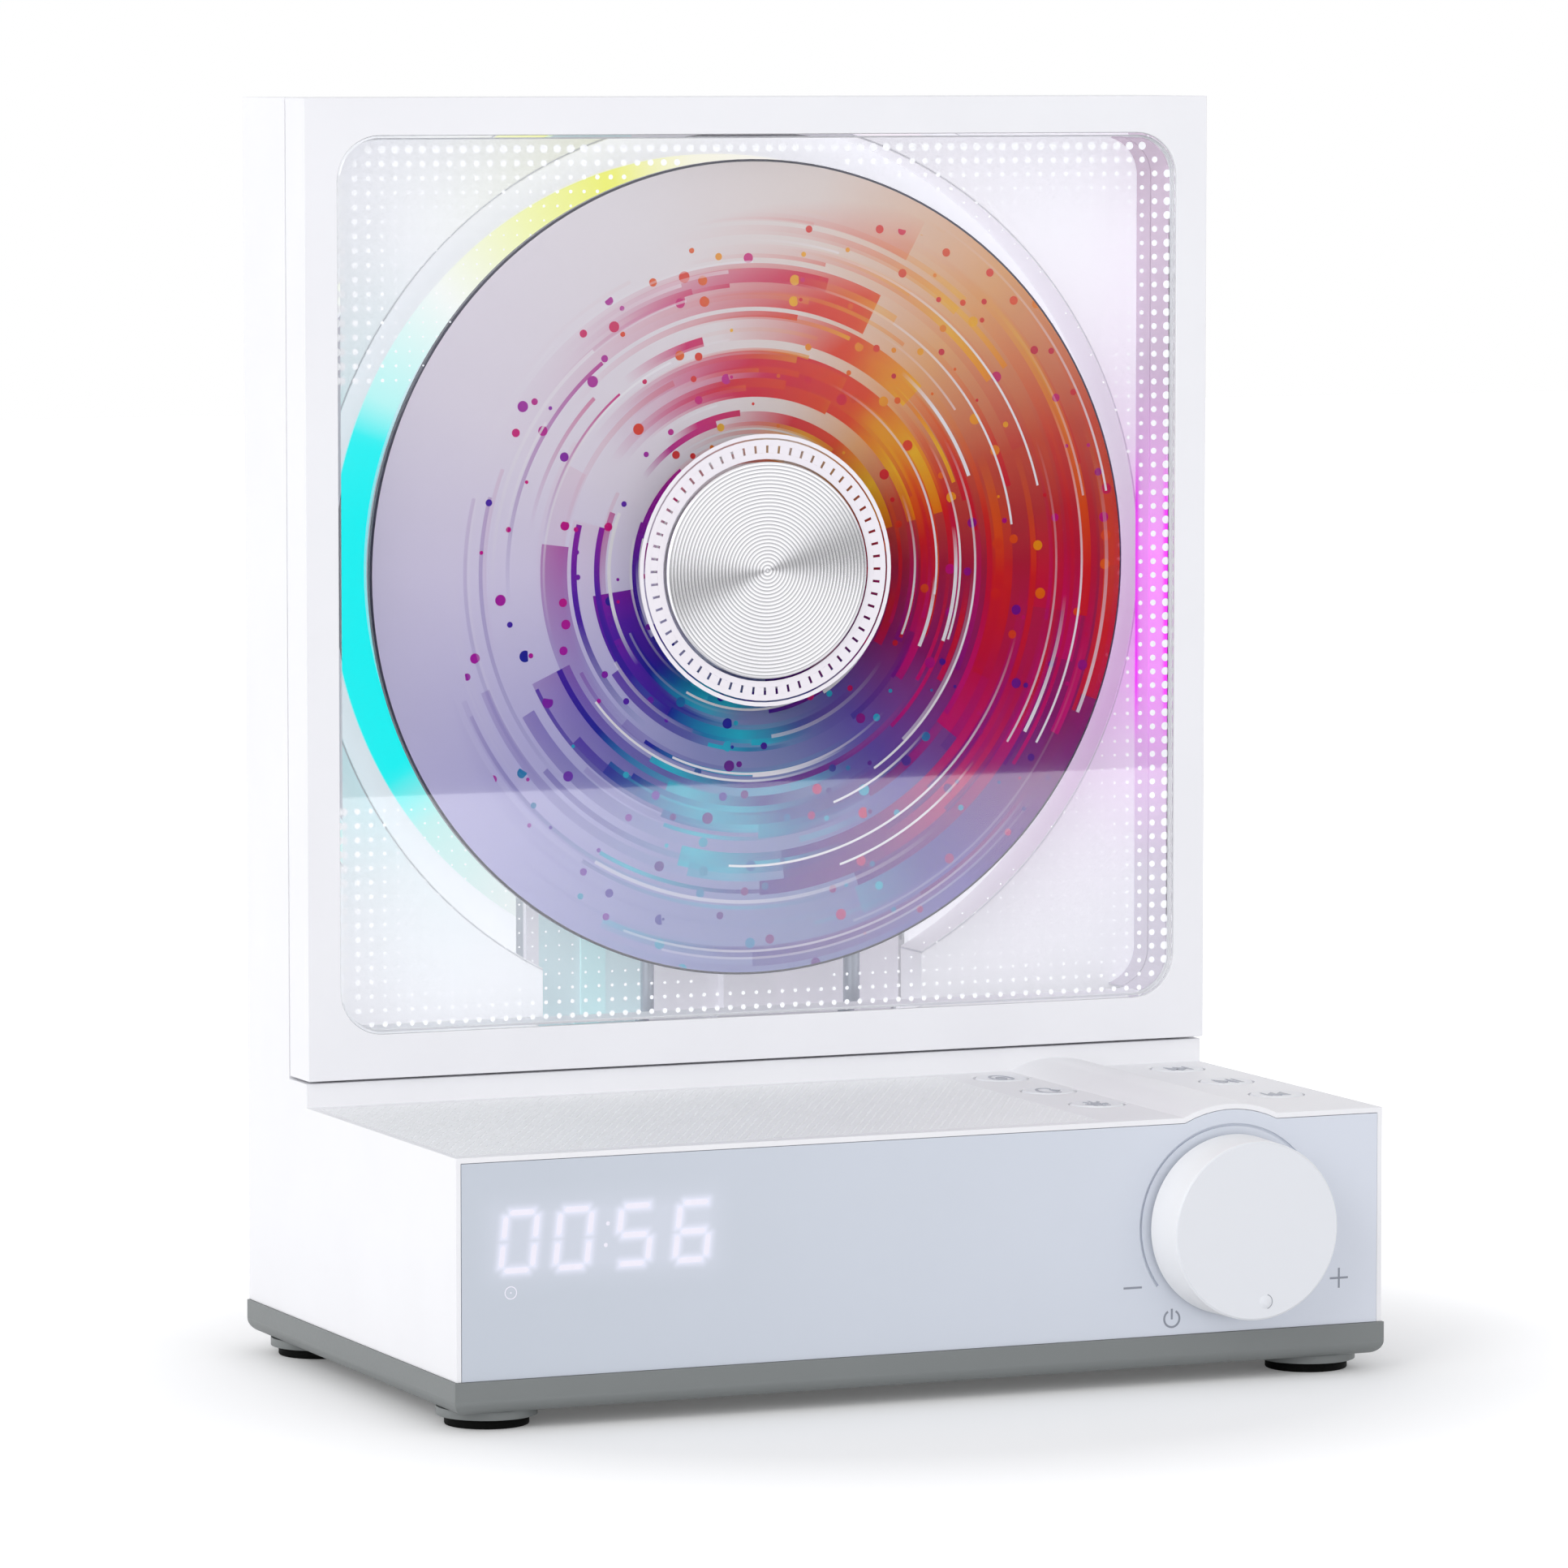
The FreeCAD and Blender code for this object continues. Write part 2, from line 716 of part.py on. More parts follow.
# Base plate: grey moulding with a rounded lower edge, a boss over each foot and four board standoffs
foot_places = [
    (f"{side} * (half_width - foot_side)", depth)
    for side in SIDES.values()
    for depth in ("front_y + foot_end", "back_y - foot_end")
]
standoff_places = [
    (f"{side} * (board_half - standoff_inset)", depth)
    for side in SIDES.values()
    for depth in ("board_front_y + standoff_inset", "board_back_y - standoff_inset")
]


def at_base_bottom(edge):
    return abs(edge.CenterOfMass.z - number("base_bottom_z")) < number("base_round") / 2


base = doc.addObject("PartDesign::Body", "base_plate")
base_outline = sketch_in(base, "base_outline", "XY_Plane", "base_bottom_z")
left, right = both_sides("half_width + base_proud")
draw_outline(base_outline, [
    (left, "front_y - base_proud"), (right, "front_y - base_proud"), (right, "back_y"), (left, "back_y"),
])
base_slab = pad(base, base_outline, "base_thick")
rounded(base, base_slab, at_base_bottom, "base_round")
foot_bosses = sketch_in(base, "foot_bosses", "XY_Plane", "base_bottom_z")
draw_circles(foot_bosses, foot_places, "foot_boss_radius")
pad(base, foot_bosses, "foot_boss_height", backwards=True)
standoffs = sketch_in(base, "standoffs", "XY_Plane", "base_top_z")
draw_circles(standoffs, standoff_places, "standoff_radius")
pad(base, standoffs, "standoff_height")
base_holes = sketch_in(base, "base_holes", "XY_Plane", "base_top_z")
draw_circles(base_holes, base_screw_places, "screw_radius + screw_fit")
pocket(base, base_holes, "base_thick")
base_head_seats = sketch_in(base, "base_head_seats", "XY_Plane", "base_bottom_z")
draw_circles(base_head_seats, base_screw_places, "screw_head_radius + screw_fit")
pocket(base, base_head_seats, "screw_head_height", backwards=True)
node(base, "base_plate")

# Four rubber pads glued under the foot bosses
node(group("foot_pads", [
    rod(f"foot_pad_{i}", "Z", (x, y, "0"), "foot_pad_radius", "foot_pad_height")
    for i, (x, y) in enumerate(foot_places)
]), "foot_pads")

# Ten like screws: six in the rear cover, four in the base plate
screw_profile = [
    ("0", "0"), ("screw_head_radius", "0"), ("screw_head_radius", "screw_head_height"),
    ("screw_radius", "screw_head_height"), ("screw_radius", "screw_head_height + screw_length"),
    ("0", "screw_head_height + screw_length"),
]
screws = [
    turned(f"rear_screw_{i}", "-Y", (x, "back_y", z), screw_profile)
    for i, (x, z) in enumerate(rear_screw_places)
]
screws += [
    turned(f"base_screw_{i}", "Z", (x, y, "base_bottom_z"), screw_profile)
    for i, (x, y) in enumerate(base_screw_places)
]
node(group("case_screws", screws), "case_screws")

# Front panel: flush sheet with an arched top over the knob and a shallow groove as its scale
groove_at = ("knob_x", "front_y + groove_depth", "knob_z")
groove = cut(
    "panel_groove",
    rod("groove_outer", "-Y", groove_at, "groove_radius + groove_width / 2", "groove_depth + overrun"),
    rod("groove_inner", "-Y", groove_at, "groove_radius - groove_width / 2", "groove_depth + overrun"),
)
groove.Base.Angle = GROOVE_SWEEP
groove.Base.Placement.Rotation = ALONG["-Y"] * Rotation(Vector(0, 0, 1), 90 - GROOVE_SWEEP / 2)
node(cut(
    "front_panel",
    union(
        "panel_blank",
        box("panel_sheet", both_sides("half_width - rim - panel_fit"), ("front_y", "panel_back_y"),
            ("base_top_z + panel_fit", "console_top_z - rim - panel_fit")),
        upper_half_rod("panel_arch", ("knob_x", "panel_back_y", "knob_z"), "arch_radius - rim - panel_fit",
                       "panel_thick"),
    ),
    groove,
    rod("panel_bore", "-Y", ("knob_x", "panel_back_y + overrun", "knob_z"), "bush_radius + panel_fit",
        "panel_thick + 2 * overrun"),
), "front_panel")

# Display: the digit block on the panel's back
display_x = ("display_side - half_width", "display_side - half_width + display_width")
display_board_y = "panel_back_y + display_thick - board_thick"
node(union(
    "display_module",
    box("display_block", display_x, ("panel_back_y", display_board_y), about("knob_z", "display_height / 2")),
    box("display_board", display_x, (display_board_y, "panel_back_y + display_thick"),
        about("knob_z", "display_height / 2 + board_thick")),
), "display_module")

# Rotary encoder: body and bush behind the panel, a nut in front, a shaft and its push plunger
encoder_back = "panel_back_y + encoder_depth"
node(cut(
    "encoder_body",
    union(
        "encoder_blank",
        box("encoder_case", about("knob_x", "encoder_half"), ("panel_back_y", encoder_back),
            about("knob_z", "encoder_half")),
        rod("encoder_bush", "-Y", ("knob_x", "panel_back_y + overrun", "knob_z"), "bush_radius",
            "panel_thick + bush_reach + overrun"),
    ),
    rod("encoder_bore", "-Y", ("knob_x", f"{encoder_back} - encoder_back_wall", "knob_z"),
        "shaft_radius + shaft_fit", "encoder_depth + panel_thick + bush_reach + overrun"),
), "encoder_body")
nut_blank = doc.addObject("Part::Prism", "nut_blank")
nut_blank.Polygon = 6
bind(nut_blank, Circumradius="nut_across", Height="nut_thick")
put(nut_blank, ("knob_x", "front_y", "knob_z"), "-Y")
node(cut(
    "encoder_nut",
    nut_blank,
    rod("nut_bore", "-Y", ("knob_x", "front_y + overrun", "knob_z"), "bush_radius + shaft_fit",
        "nut_thick + 2 * overrun"),
), "encoder_nut")
knob_face_y = "front_y - knob_reach + pip_height"
shaft_back = "panel_back_y + shaft_rear"
node(rod("encoder_shaft", "Y", ("knob_x", f"{knob_face_y} + knob_skin", "knob_z"), "shaft_radius",
         f"{shaft_back} - ({knob_face_y} + knob_skin)"), "encoder_shaft")
node(rod("encoder_plunger", "Y", ("knob_x", shaft_back, "knob_z"), "plunger_radius", "plunger_length"),
     "encoder_plunger")

# Volume knob: a hollow cap on the encoder's shaft, with a small domed pip low on its face as its pointer
knob_length = "knob_reach - pip_height - knob_gap"
knob_turned = turned("knob_turned", "Y", ("knob_x", knob_face_y, "knob_z"), [
    ("0", "0"),
    ("knob_radius - knob_taper - knob_round", "0"),
    ("knob_radius - knob_taper", "knob_round"),
    ("knob_radius", knob_length),
    ("knob_radius - knob_side_wall", knob_length),
    ("knob_radius - knob_side_wall", "knob_skin"),
    ("knob_hub_radius", "knob_skin"),
    ("knob_hub_radius", "knob_skin + knob_hub_length"),
    ("shaft_radius + shaft_fit / 2", "knob_skin + knob_hub_length"),
    ("shaft_radius + shaft_fit / 2", "knob_skin"),
    ("0", "knob_skin"),
])
knob_pip = turned("knob_pip", "Y", ("knob_x + pip_side", "front_y - knob_reach", "knob_z - pip_reach"), [
    ("0", "0"),
    *[(f"{across} * pip_radius", f"{drop} * pip_height") for across, drop in PIP_SHARES],
    ("pip_radius", "pip_height"),
    ("pip_radius", "pip_height + knob_skin / 2"),
    ("0", "pip_height + knob_skin / 2"),
])
node(union("volume_knob", knob_turned, knob_pip), "volume_knob")

# Six keys: round caps with a shallow dish and a flange that keeps them under the console top
key_top = "console_top_z + key_proud"
for name, (x, y) in key_places.items():
    node(turned(name, "Z", (x, y, "key_flange_bottom_z"), [
        ("0", "0"),
        ("key_flange_radius", "0"),
        ("key_flange_radius", "key_flange_thick"),
        ("key_radius", "key_flange_thick"),
        ("key_radius", f"{key_top} - key_dish - key_flange_bottom_z"),
        ("key_radius - key_dish", f"{key_top} - key_flange_bottom_z"),
        ("0", f"{key_top} - key_dish - key_flange_bottom_z"),
    ]), name)

# Key board under the console top, with a tact switch below every key
front_row_y = key_places["key_light"][1]
rear_row_y = key_places["key_mode"][1]
node(box(
    "key_board",
    ("key_left_x - key_flange_radius - key_board_border", "key_right_x + key_flange_radius"),
    (f"{front_row_y} - key_flange_radius - key_board_border", f"{rear_row_y} + key_flange_radius"),
    ("key_board_top_z - board_thick", "key_board_top_z"),
), "key_board")
node(group("tact_switches", [
    union(
        f"{name}_switch",
        box(f"{name}_switch_case", about(x, "switch_half"), about(y, "switch_half"),
            ("key_board_top_z", "key_board_top_z + switch_height")),
        rod(f"{name}_switch_stem", "Z", (x, y, "key_board_top_z + switch_height"), "switch_stem_radius",
            "switch_stem_height"),
    )
    for name, (x, y) in key_places.items()
]), "tact_switches")

# Speaker grille: a thin sheet with staggered holes, flush in the console top
sheet_left = number("grille_left_x + panel_fit")
sheet_right = number("grille_right_x - panel_fit")
sheet_front = number("grille_front_y + panel_fit")
sheet_rear = number("grille_back_y - panel_fit")
sheet_low = number("console_top_z - grille_thick")
pitch = number("grille_pitch")
row_step = pitch * 3 ** 0.5 / 2
hole_rows = int((sheet_rear - sheet_front - pitch) / row_step) + 1
hole_columns = int((sheet_right - sheet_left - pitch - pitch / 2) / pitch) + 1
first_x = (sheet_left + sheet_right - (hole_columns - 1) * pitch - pitch / 2) / 2
first_y = (sheet_front + sheet_rear - (hole_rows - 1) * row_step) / 2
sheet_corners = [
    Vector(sheet_left, sheet_front, sheet_low),
    Vector(sheet_right, sheet_front, sheet_low),
    Vector(sheet_right, sheet_rear, sheet_low),
    Vector(sheet_left, sheet_rear, sheet_low),
]
grille_wires = [Part.makePolygon(sheet_corners + sheet_corners[:1])]
for row in range(hole_rows):
    for column in range(hole_columns):
        across = first_x + column * pitch + row % 2 * pitch / 2
        centre = Vector(across, first_y + row * row_step, sheet_low)
        hole = Part.Circle(centre, Vector(0, 0, 1), number("grille_hole_radius"))
        grille_wires.append(Part.Wire(hole.toShape()))
grille = doc.addObject("Part::Feature", "speaker_grille")
grille_face = Part.Face(grille_wires, "Part::FaceMakerBullseye")
grille.Shape = grille_face.extrude(Vector(0, 0, number("grille_thick")))
node(grille, "speaker_grille")

# Two small full-range speakers under the grille, facing up; distances run down from the ceiling
basket_bottom = "basket_depth + basket_taper"
basket_inner = "basket_radius - basket_wall"
node(group("speaker_baskets", [
    turned(f"basket_{side}", "-Z", (x, y, "ceiling_z"), [
        (basket_inner, "0"),
        ("speaker_flange_radius", "0"),
        ("speaker_flange_radius", "speaker_flange_thick"),
        ("basket_radius", "speaker_flange_thick"),
        ("basket_radius", "basket_depth"),
        ("magnet_radius", basket_bottom),
        ("magnet_gap_radius", basket_bottom),
        ("magnet_gap_radius", f"{basket_bottom} - basket_wall"),
        ("magnet_radius - basket_wall", f"{basket_bottom} - basket_wall"),
        (basket_inner, "basket_depth"),
    ])
    for side, (x, y) in speaker_places.items()
]), "speaker_baskets")
node(group("speaker_magnets", [
    turned(f"magnet_{side}", "-Z", (x, y, f"ceiling_z - ({basket_bottom})"), [
        ("0", "0"),
        ("pole_radius", "0"),
        ("pole_radius", "magnet_gap_depth"),
        ("magnet_gap_radius", "magnet_gap_depth"),
        ("magnet_gap_radius", "0"),
        ("magnet_radius", "0"),
        ("magnet_radius", "magnet_height"),
        ("0", "magnet_height"),
    ])
    for side, (x, y) in speaker_places.items()
]), "speaker_magnets")
roll_outer = f"{basket_inner} - cone_gap"
roll_inner = f"{roll_outer} - roll_width"
coil_outer = "coil_radius + coil_thick"
neck = f"{basket_bottom} - cone_neck"
for side, (x, y) in speaker_places.items():
    under_roll = [
        (f"{roll_inner} + {across} * roll_width", f"cone_drop - {up} * roll_height")
        for across, up in ROLL_SHARES
    ]
    over_roll = [(radius, f"{drop} - cone_thick") for radius, drop in reversed(under_roll)]
    node(turned(f"speaker_cone_{side}", "-Z", (x, y, "ceiling_z"), [
        ("coil_radius", f"{basket_bottom} + coil_reach"),
        (coil_outer, f"{basket_bottom} + coil_reach"),
        (coil_outer, neck),
        (roll_inner, "cone_drop"),
        *under_roll,
        (roll_outer, "cone_drop"),
        (roll_outer, "cone_drop - cone_thick"),
        *over_roll,
        (roll_inner, "cone_drop - cone_thick"),
        (coil_outer, f"{neck} - cone_thick"),
        ("0", f"{neck} - cone_thick - dust_cap_height"),
        ("0", f"{neck} - dust_cap_height"),
        ("coil_radius", neck),
    ]), f"speaker_cone_{side}")

# Main board on the base plate's standoffs, with its two chips
node(union(
    "main_board",
    box("board_sheet", both_sides("board_half"), ("board_front_y", "board_back_y"),
        ("board_z", "board_top_z")),
    *[
        box(f"board_chip_{side}", about(x, "chip_half"), about(y, "chip_half"),
            ("board_top_z", "board_top_z + chip_height"))
        for side, (x, y) in speaker_places.items()
    ],
), "main_board")

# Battery: one round cell in an open holder that stands on the main board
node(cut(
    "battery_holder",
    box("holder_block", about("cell_x", "holder_half"),
        about("cell_y", "cell_radius + cell_fit + holder_wall"),
        ("board_top_z", "board_top_z + holder_height")),
    rod("holder_trough", "X", ("cell_x - holder_half + holder_wall", "cell_y", "cell_z"),
        "cell_radius + cell_fit", "2 * (holder_half - holder_wall)"),
), "battery_holder")
node(turned("battery_cell", "X", ("cell_x - cell_length / 2", "cell_y", "cell_z"), [
    ("0", "0"), ("cell_radius", "0"), ("cell_radius", "cell_length"), ("cell_nub_radius", "cell_length"),
    ("cell_nub_radius", "cell_length + cell_nub_length"), ("0", "cell_length + cell_nub_length"),
]), "battery_cell")


# Charging socket: a drawn steel shell with rounded ends and a contact tongue
def socket_sleeve(name, skin, y):
    straight = "socket_half_width - socket_height / 2"
    radius = f"socket_height / 2 - {skin}"
    length = f"{y[1]} - ({y[0]})"
    ends = [
        rod(f"{name}_{side}", "Y", (f"socket_x + {sign} * ({straight})", y[0], "socket_z"), radius, length)
        for side, sign in SIDES.items()
    ]
    middle = box(f"{name}_flat", about("socket_x", straight), y, about("socket_z", radius))
    return union(name, middle, *ends)


socket_mouth = "back_y - socket_inset"
socket_inner_end = f"{socket_mouth} - socket_length"
node(union(
    "charging_socket",
    cut(
        "socket_shell",
        socket_sleeve("socket_outer", "0", (socket_inner_end, socket_mouth)),
        socket_sleeve("socket_inner", "socket_skin",
                      (f"{socket_inner_end} + socket_back_wall", f"{socket_mouth} + overrun")),
    ),
    box("socket_tongue", about("socket_x", "socket_tongue_half"),
        (f"{socket_inner_end} + socket_back_wall / 2", f"{socket_mouth} - socket_tongue_inset"),
        about("socket_z", "socket_tongue_thick / 2")),
), "charging_socket")

# Audio jack: block on the board's edge with a round nose through the rear cover
node(cut(
    "audio_jack",
    union(
        "jack_blank",
        box("jack_block", about("jack_x", "jack_half"),
            ("rear_y - rear_fit - jack_length", "rear_y - rear_fit"),
            ("board_top_z", "board_top_z + jack_height")),
        rod("jack_nose", "Y", ("jack_x", "rear_y - rear_fit", "jack_z"), "jack_nose_radius",
            "rear_fit + rear_thick"),
    ),
    rod("jack_bore", "-Y", ("jack_x", "back_y + overrun", "jack_z"), "jack_bore_radius",
        "jack_bore_depth + overrun"),
), "audio_jack")

# Deck: plate with the disc well and, below it, the channel in which the pickup runs
channel_outer = both_sides("channel_half + channel_wall")
node(cut(
    "deck_plate",
    union(
        "deck_blank",
        box("deck_sheet", both_sides("inner_x - deck_fit"), ("deck_y", "deck_y + deck_thick"),
            ("ledge_top_z - wall", "tower_top_z - deck_fit / 2")),
        rod("well_outer", "Y", ("0", "deck_y", "spindle_z"), "well_radius + well_wall", "chassis_y - deck_y"),
        box("channel_blank", channel_outer, ("deck_y", "chassis_y"),
            ("channel_low_z - channel_wall", "spindle_z")),
    ),
    rod("well_bore", "Y", ("0", "deck_y - overrun", "spindle_z"), "well_radius",
        "chassis_y - deck_y + 2 * overrun"),
    box("channel_bore", both_sides("channel_half"), ("deck_y - overrun", "chassis_y + overrun"),
        ("channel_low_z", "spindle_z")),
), "deck_plate")

# Light ring: a milky guide behind the well's wall, and the ring of lamps on its board
light_gap = box("light_gap", channel_outer, ("chassis_y - overrun", "rear_y"),
                ("channel_low_z - channel_wall", "spindle_z"))
node(cut(
    "light_guide",
    ring("light_ring", "Y", ("0", "chassis_y", "spindle_z"), "light_inner_radius",
         "well_radius + well_wall", "light_thick"),
    light_gap,
), "light_guide")
led_board_y = "chassis_y + light_thick + led_height"
lamp_radius = "(light_inner_radius + well_radius) / 2"
lamps = [
    box(
        f"lamp_{turn}",
        about(f"{lamp_radius} * cos({turn} deg)", "led_half"),
        (f"{led_board_y} - led_height", led_board_y),
        about(f"spindle_z + {lamp_radius} * sin({turn} deg)", "led_half"),
    )
    for turn in LAMP_TURNS
]
led_board = cut(
    "led_board_ring",
    ring("led_board_blank", "Y", ("0", led_board_y, "spindle_z"), "light_inner_radius", "well_radius",
         "led_board_thick"),
    light_gap,
)
node(union("led_board", led_board, *lamps), "led_board")

# Mechanism plate: pressed steel with a tongue down the channel, rod brackets and a flat centre rail
tongue = both_sides("channel_half - chassis_fit")
bracket_y = ("rod_y - bracket_half", "chassis_y")
bracket_heights = {
    "low": ("rod_low_z", "rod_low_z + bracket_depth"),
    "high": ("rod_high_z - bracket_depth", "rod_high_z"),
}
brackets = [
    box(f"{name}_bracket_{level}", about(x, "bracket_half"), bracket_y, z)
    for name, x in (("rod", "-rod_x"), ("screw", "screw_x"))
    for level, z in bracket_heights.items()
]
chassis_blank = union(
    "chassis_blank",
    rod("chassis_disc", "Y", ("0", "chassis_y", "spindle_z"), "chassis_radius", "chassis_thick"),
    box("chassis_tongue", tongue, ("chassis_y", "chassis_back_y"), ("rod_low_z", "spindle_z")),
    box("centre_rail", ("rail_left", "rail_left + rail_width"), ("chassis_y - rail_thick", "chassis_y"),
        ("rod_low_z", "lens_z + sled_up")),
    *brackets,
)
node(cut(
    "mechanism_plate",
    chassis_blank,
    rod("rod_bore", "Z", ("-rod_x", "rod_y", "rod_low_z - overrun"), "rod_radius + rod_fit",
        "rod_high_z - rod_low_z + 2 * overrun"),
    rod("screw_bore", "Z", ("screw_x", "rod_y", "rod_low_z - overrun"), "lead_radius + lead_fit",
        "rod_high_z - rod_low_z + 2 * overrun"),
), "mechanism_plate")

# Rubber bushes between the mechanism plate and the rear cover
damper_profile = [
    ("0", "0"),
    ("damper_radius", "0"),
    ("damper_neck_radius", "damper_length / 2"),
    ("damper_radius", "damper_length"),
    ("0", "damper_length"),
]
damper_places = {
    f"damper_{side}_{level}": (f"{across} * damper_spread", f"spindle_z + {lift} * damper_spread")
    for side, across in SIDES.items()
    for level, lift in LEVELS.items()
}
node(group("damper_bushes", [
    turned(name, "Y", (x, "chassis_back_y", z), damper_profile) for name, (x, z) in damper_places.items()
]), "damper_bushes")

# Spindle: motor can on the mechanism plate, shaft, turntable with its nose, rubber mat and the disc
node(turned("spindle_motor", "Y", ("0", "motor_front_y", "spindle_z"), [
    ("spindle_radius + spindle_fit", "0"),
    ("motor_boss_radius", "0"),
    ("motor_boss_radius", "motor_step"),
    ("motor_radius", "motor_step"),
    ("motor_radius", "motor_length"),
    ("0", "motor_length"),
    ("0", "spindle_depth + motor_step"),
    ("spindle_radius + spindle_fit", "spindle_depth + motor_step"),
]), "spindle_motor")
node(rod("spindle_shaft", "Y", ("0", "disc_front_y", "spindle_z"), "spindle_radius",
         "motor_front_y + spindle_depth - (disc_front_y)"), "spindle_shaft")
node(turned("turntable", "Y", ("0", "disc_front_y", "spindle_z"), [
    ("0", "-nose_reach"),
    ("nose_radius - nose_bevel", "-nose_reach"),
    ("nose_radius", "nose_bevel - nose_reach"),
    ("nose_radius", "disc_thick + mat_thick"),
    ("table_radius", "disc_thick + mat_thick"),
    ("table_radius", "disc_thick + table_thick"),
    ("spindle_radius + spindle_fit / 2", "disc_thick + table_thick"),
    ("spindle_radius + spindle_fit / 2", "0"),
    ("0", "0"),
]), "turntable")
node(ring("turntable_mat", "Y", ("0", "disc_back_y", "spindle_z"), "mat_inner_radius", "table_radius",
          "mat_thick"), "turntable_mat")
node(ring("disc", "Y", ("0", "disc_front_y", "spindle_z"), "disc_hole_radius", "disc_radius",
          "disc_thick"), "disc")

# Pickup: a sled on a steel rod and a lead screw, with the lens on its own sprung holder
holder_front = "disc_back_y + holder_front_gap"
holder_back = f"{holder_front} + holder_thick"
sled_bore_z = "lens_z - sled_down - overrun"
sled_bore_length = "sled_up + sled_down + 2 * overrun"
node(cut(
    "pickup_sled",
    box("sled_block", ("-(sled_left)", "sled_right"), ("sled_front_y", "sled_back_y"),
        ("lens_z - sled_down", "lens_z + sled_up")),
    box("sled_recess", both_sides("holder_half_x + holder_room"),
        ("sled_front_y - overrun", f"{holder_back} + holder_room"),
        about("lens_z", "holder_half_z + holder_room")),
    rod("sled_rod_bore", "Z", ("-rod_x", "rod_y", sled_bore_z), "rod_radius + rod_fit", sled_bore_length),
    rod("sled_screw_bore", "Z", ("screw_x", "rod_y", sled_bore_z), "lead_radius + lead_fit",
        sled_bore_length),
), "pickup_sled")
node(cut(
    "lens_holder",
    box("holder_plate", both_sides("holder_half_x"), (holder_front, holder_back),
        about("lens_z", "holder_half_z")),
    rod("holder_bore", "Y", ("0", f"{holder_front} - overrun", "lens_z"), "lens_radius",
        "holder_thick / 2 + overrun"),
), "lens_holder")
dome_across, dome_up = LENS_DOME_SHARES
node(turned("objective_lens", "-Y", ("0", f"{holder_front} + holder_thick / 2", "lens_z"), [
    ("0", "0"),
    ("lens_radius - lens_fit", "0"),
    ("lens_radius - lens_fit", "holder_thick / 2"),
    (f"{dome_across} * lens_radius", f"holder_thick / 2 + {dome_up} * lens_dome"),
    ("0", "holder_thick / 2 + lens_dome"),
]), "objective_lens")
node(rod("guide_rod", "Z", ("-rod_x", "rod_y", "rod_low_z"), "rod_radius", "rod_high_z - rod_low_z"),
     "guide_rod")
node(rod("lead_screw", "Z", ("screw_x", "rod_y", "rod_low_z"), "lead_radius",
         "rod_high_z - rod_low_z + lead_grip"), "lead_screw")
node(turned("sled_motor", "Z", ("screw_x", "rod_y", "rod_high_z + sled_motor_gap"), [
    ("lead_radius + lead_fit", "0"),
    ("sled_motor_radius", "0"),
    ("sled_motor_radius", "sled_motor_length"),
    ("0", "sled_motor_length"),
    ("0", "lead_grip + lead_end_gap"),
    ("lead_radius + lead_fit", "lead_grip + lead_end_gap"),
]), "sled_motor")
ribbon_y = ("chassis_y - ribbon_thick", "chassis_y")
node(union(
    "pickup_ribbon",
    box("ribbon_upright", ("-ribbon_left", "-ribbon_left + ribbon_width"), ribbon_y,
        ("rod_low_z", "rod_low_z + ribbon_rise")),
    box("ribbon_foot", ("-ribbon_left", "-rod_x - bracket_half - chassis_fit"), ribbon_y,
        ("rod_low_z", "rod_low_z + ribbon_width / 2")),
), "pickup_ribbon")

# Door: white frame round the window, hinged on the right; its rear right edge is round about the axis
lug_places = {"low": "door_bottom_z + lug_inset", "high": "top_z - lug_inset"}
catch_places = {"low": "door_bottom_z + catch_inset", "high": "top_z - catch_inset"}
catch_x = ("-inner_x", "-inner_x + catch_width")
edge_waste = cut(
    "hinge_edge_waste",
    box("hinge_edge_block", ("hinge_x", "half_width + overrun"), ("hinge_y", "door_back_y + overrun"),
        ("door_bottom_z - overrun", "top_z + overrun")),
    rod("hinge_edge_round", "Z", ("hinge_x", "hinge_y", "door_bottom_z - 2 * overrun"), "hinge_round",
        "top_z - door_bottom_z + 4 * overrun"),
)
door_cuts = [
    rounded_slab("window_opening", both_sides("window_half"), ("door_front_y - overrun", "pane_back_y"),
                 ("window_low_z", "window_high_z"), "window_round"),
    rounded_slab("door_hollow", both_sides("window_half - pane_lip"),
                 ("pane_back_y - overrun", "door_back_y + overrun"),
                 ("window_low_z + pane_lip", "window_high_z - pane_lip"), "window_round - pane_lip"),
    edge_waste,
]
door_cuts += [
    box(f"lug_notch_{level}", ("hinge_x - lug_half - lug_gap", "half_width + overrun"),
        ("hinge_y - lug_half - lug_gap", "door_back_y + overrun"), about(z, "lug_height / 2 + lug_gap"))
    for level, z in lug_places.items()
]
door_cuts += [
    rod(f"pin_bore_{level}", "Z", ("hinge_x", "hinge_y", f"{z} - lug_height / 2 - pin_overlap - pin_fit"),
        "pin_radius + pin_fit / 2", "lug_height + 2 * pin_overlap + 2 * pin_fit")
    for level, z in lug_places.items()
]
door_cuts += [
    box(f"catch_seat_{level}", catch_x, ("door_back_y - catch_thick", "door_back_y + overrun"),
        about(z, "catch_length / 2"))
    for level, z in catch_places.items()
]
door_slab = box("door_slab", SPAN, ("door_front_y", "door_back_y"), ("door_bottom_z", "top_z"))
node(cut("door_frame", door_slab, *door_cuts), "door_frame")
node(rounded_slab("door_window", both_sides("window_half - pane_fit"), ("door_front_y", "pane_back_y"),
                  ("window_low_z + pane_fit", "window_high_z - pane_fit"), "window_round - pane_fit"),
     "door_window")
node(turned("hub_cap", "-Y", ("0", "door_front_y", "spindle_z"), [
    ("0", "0"), ("cap_radius", "0"), ("cap_radius", "cap_thick - cap_round"),
    ("cap_radius - cap_round", "cap_thick"), ("0", "cap_thick"),
]), "hub_cap")
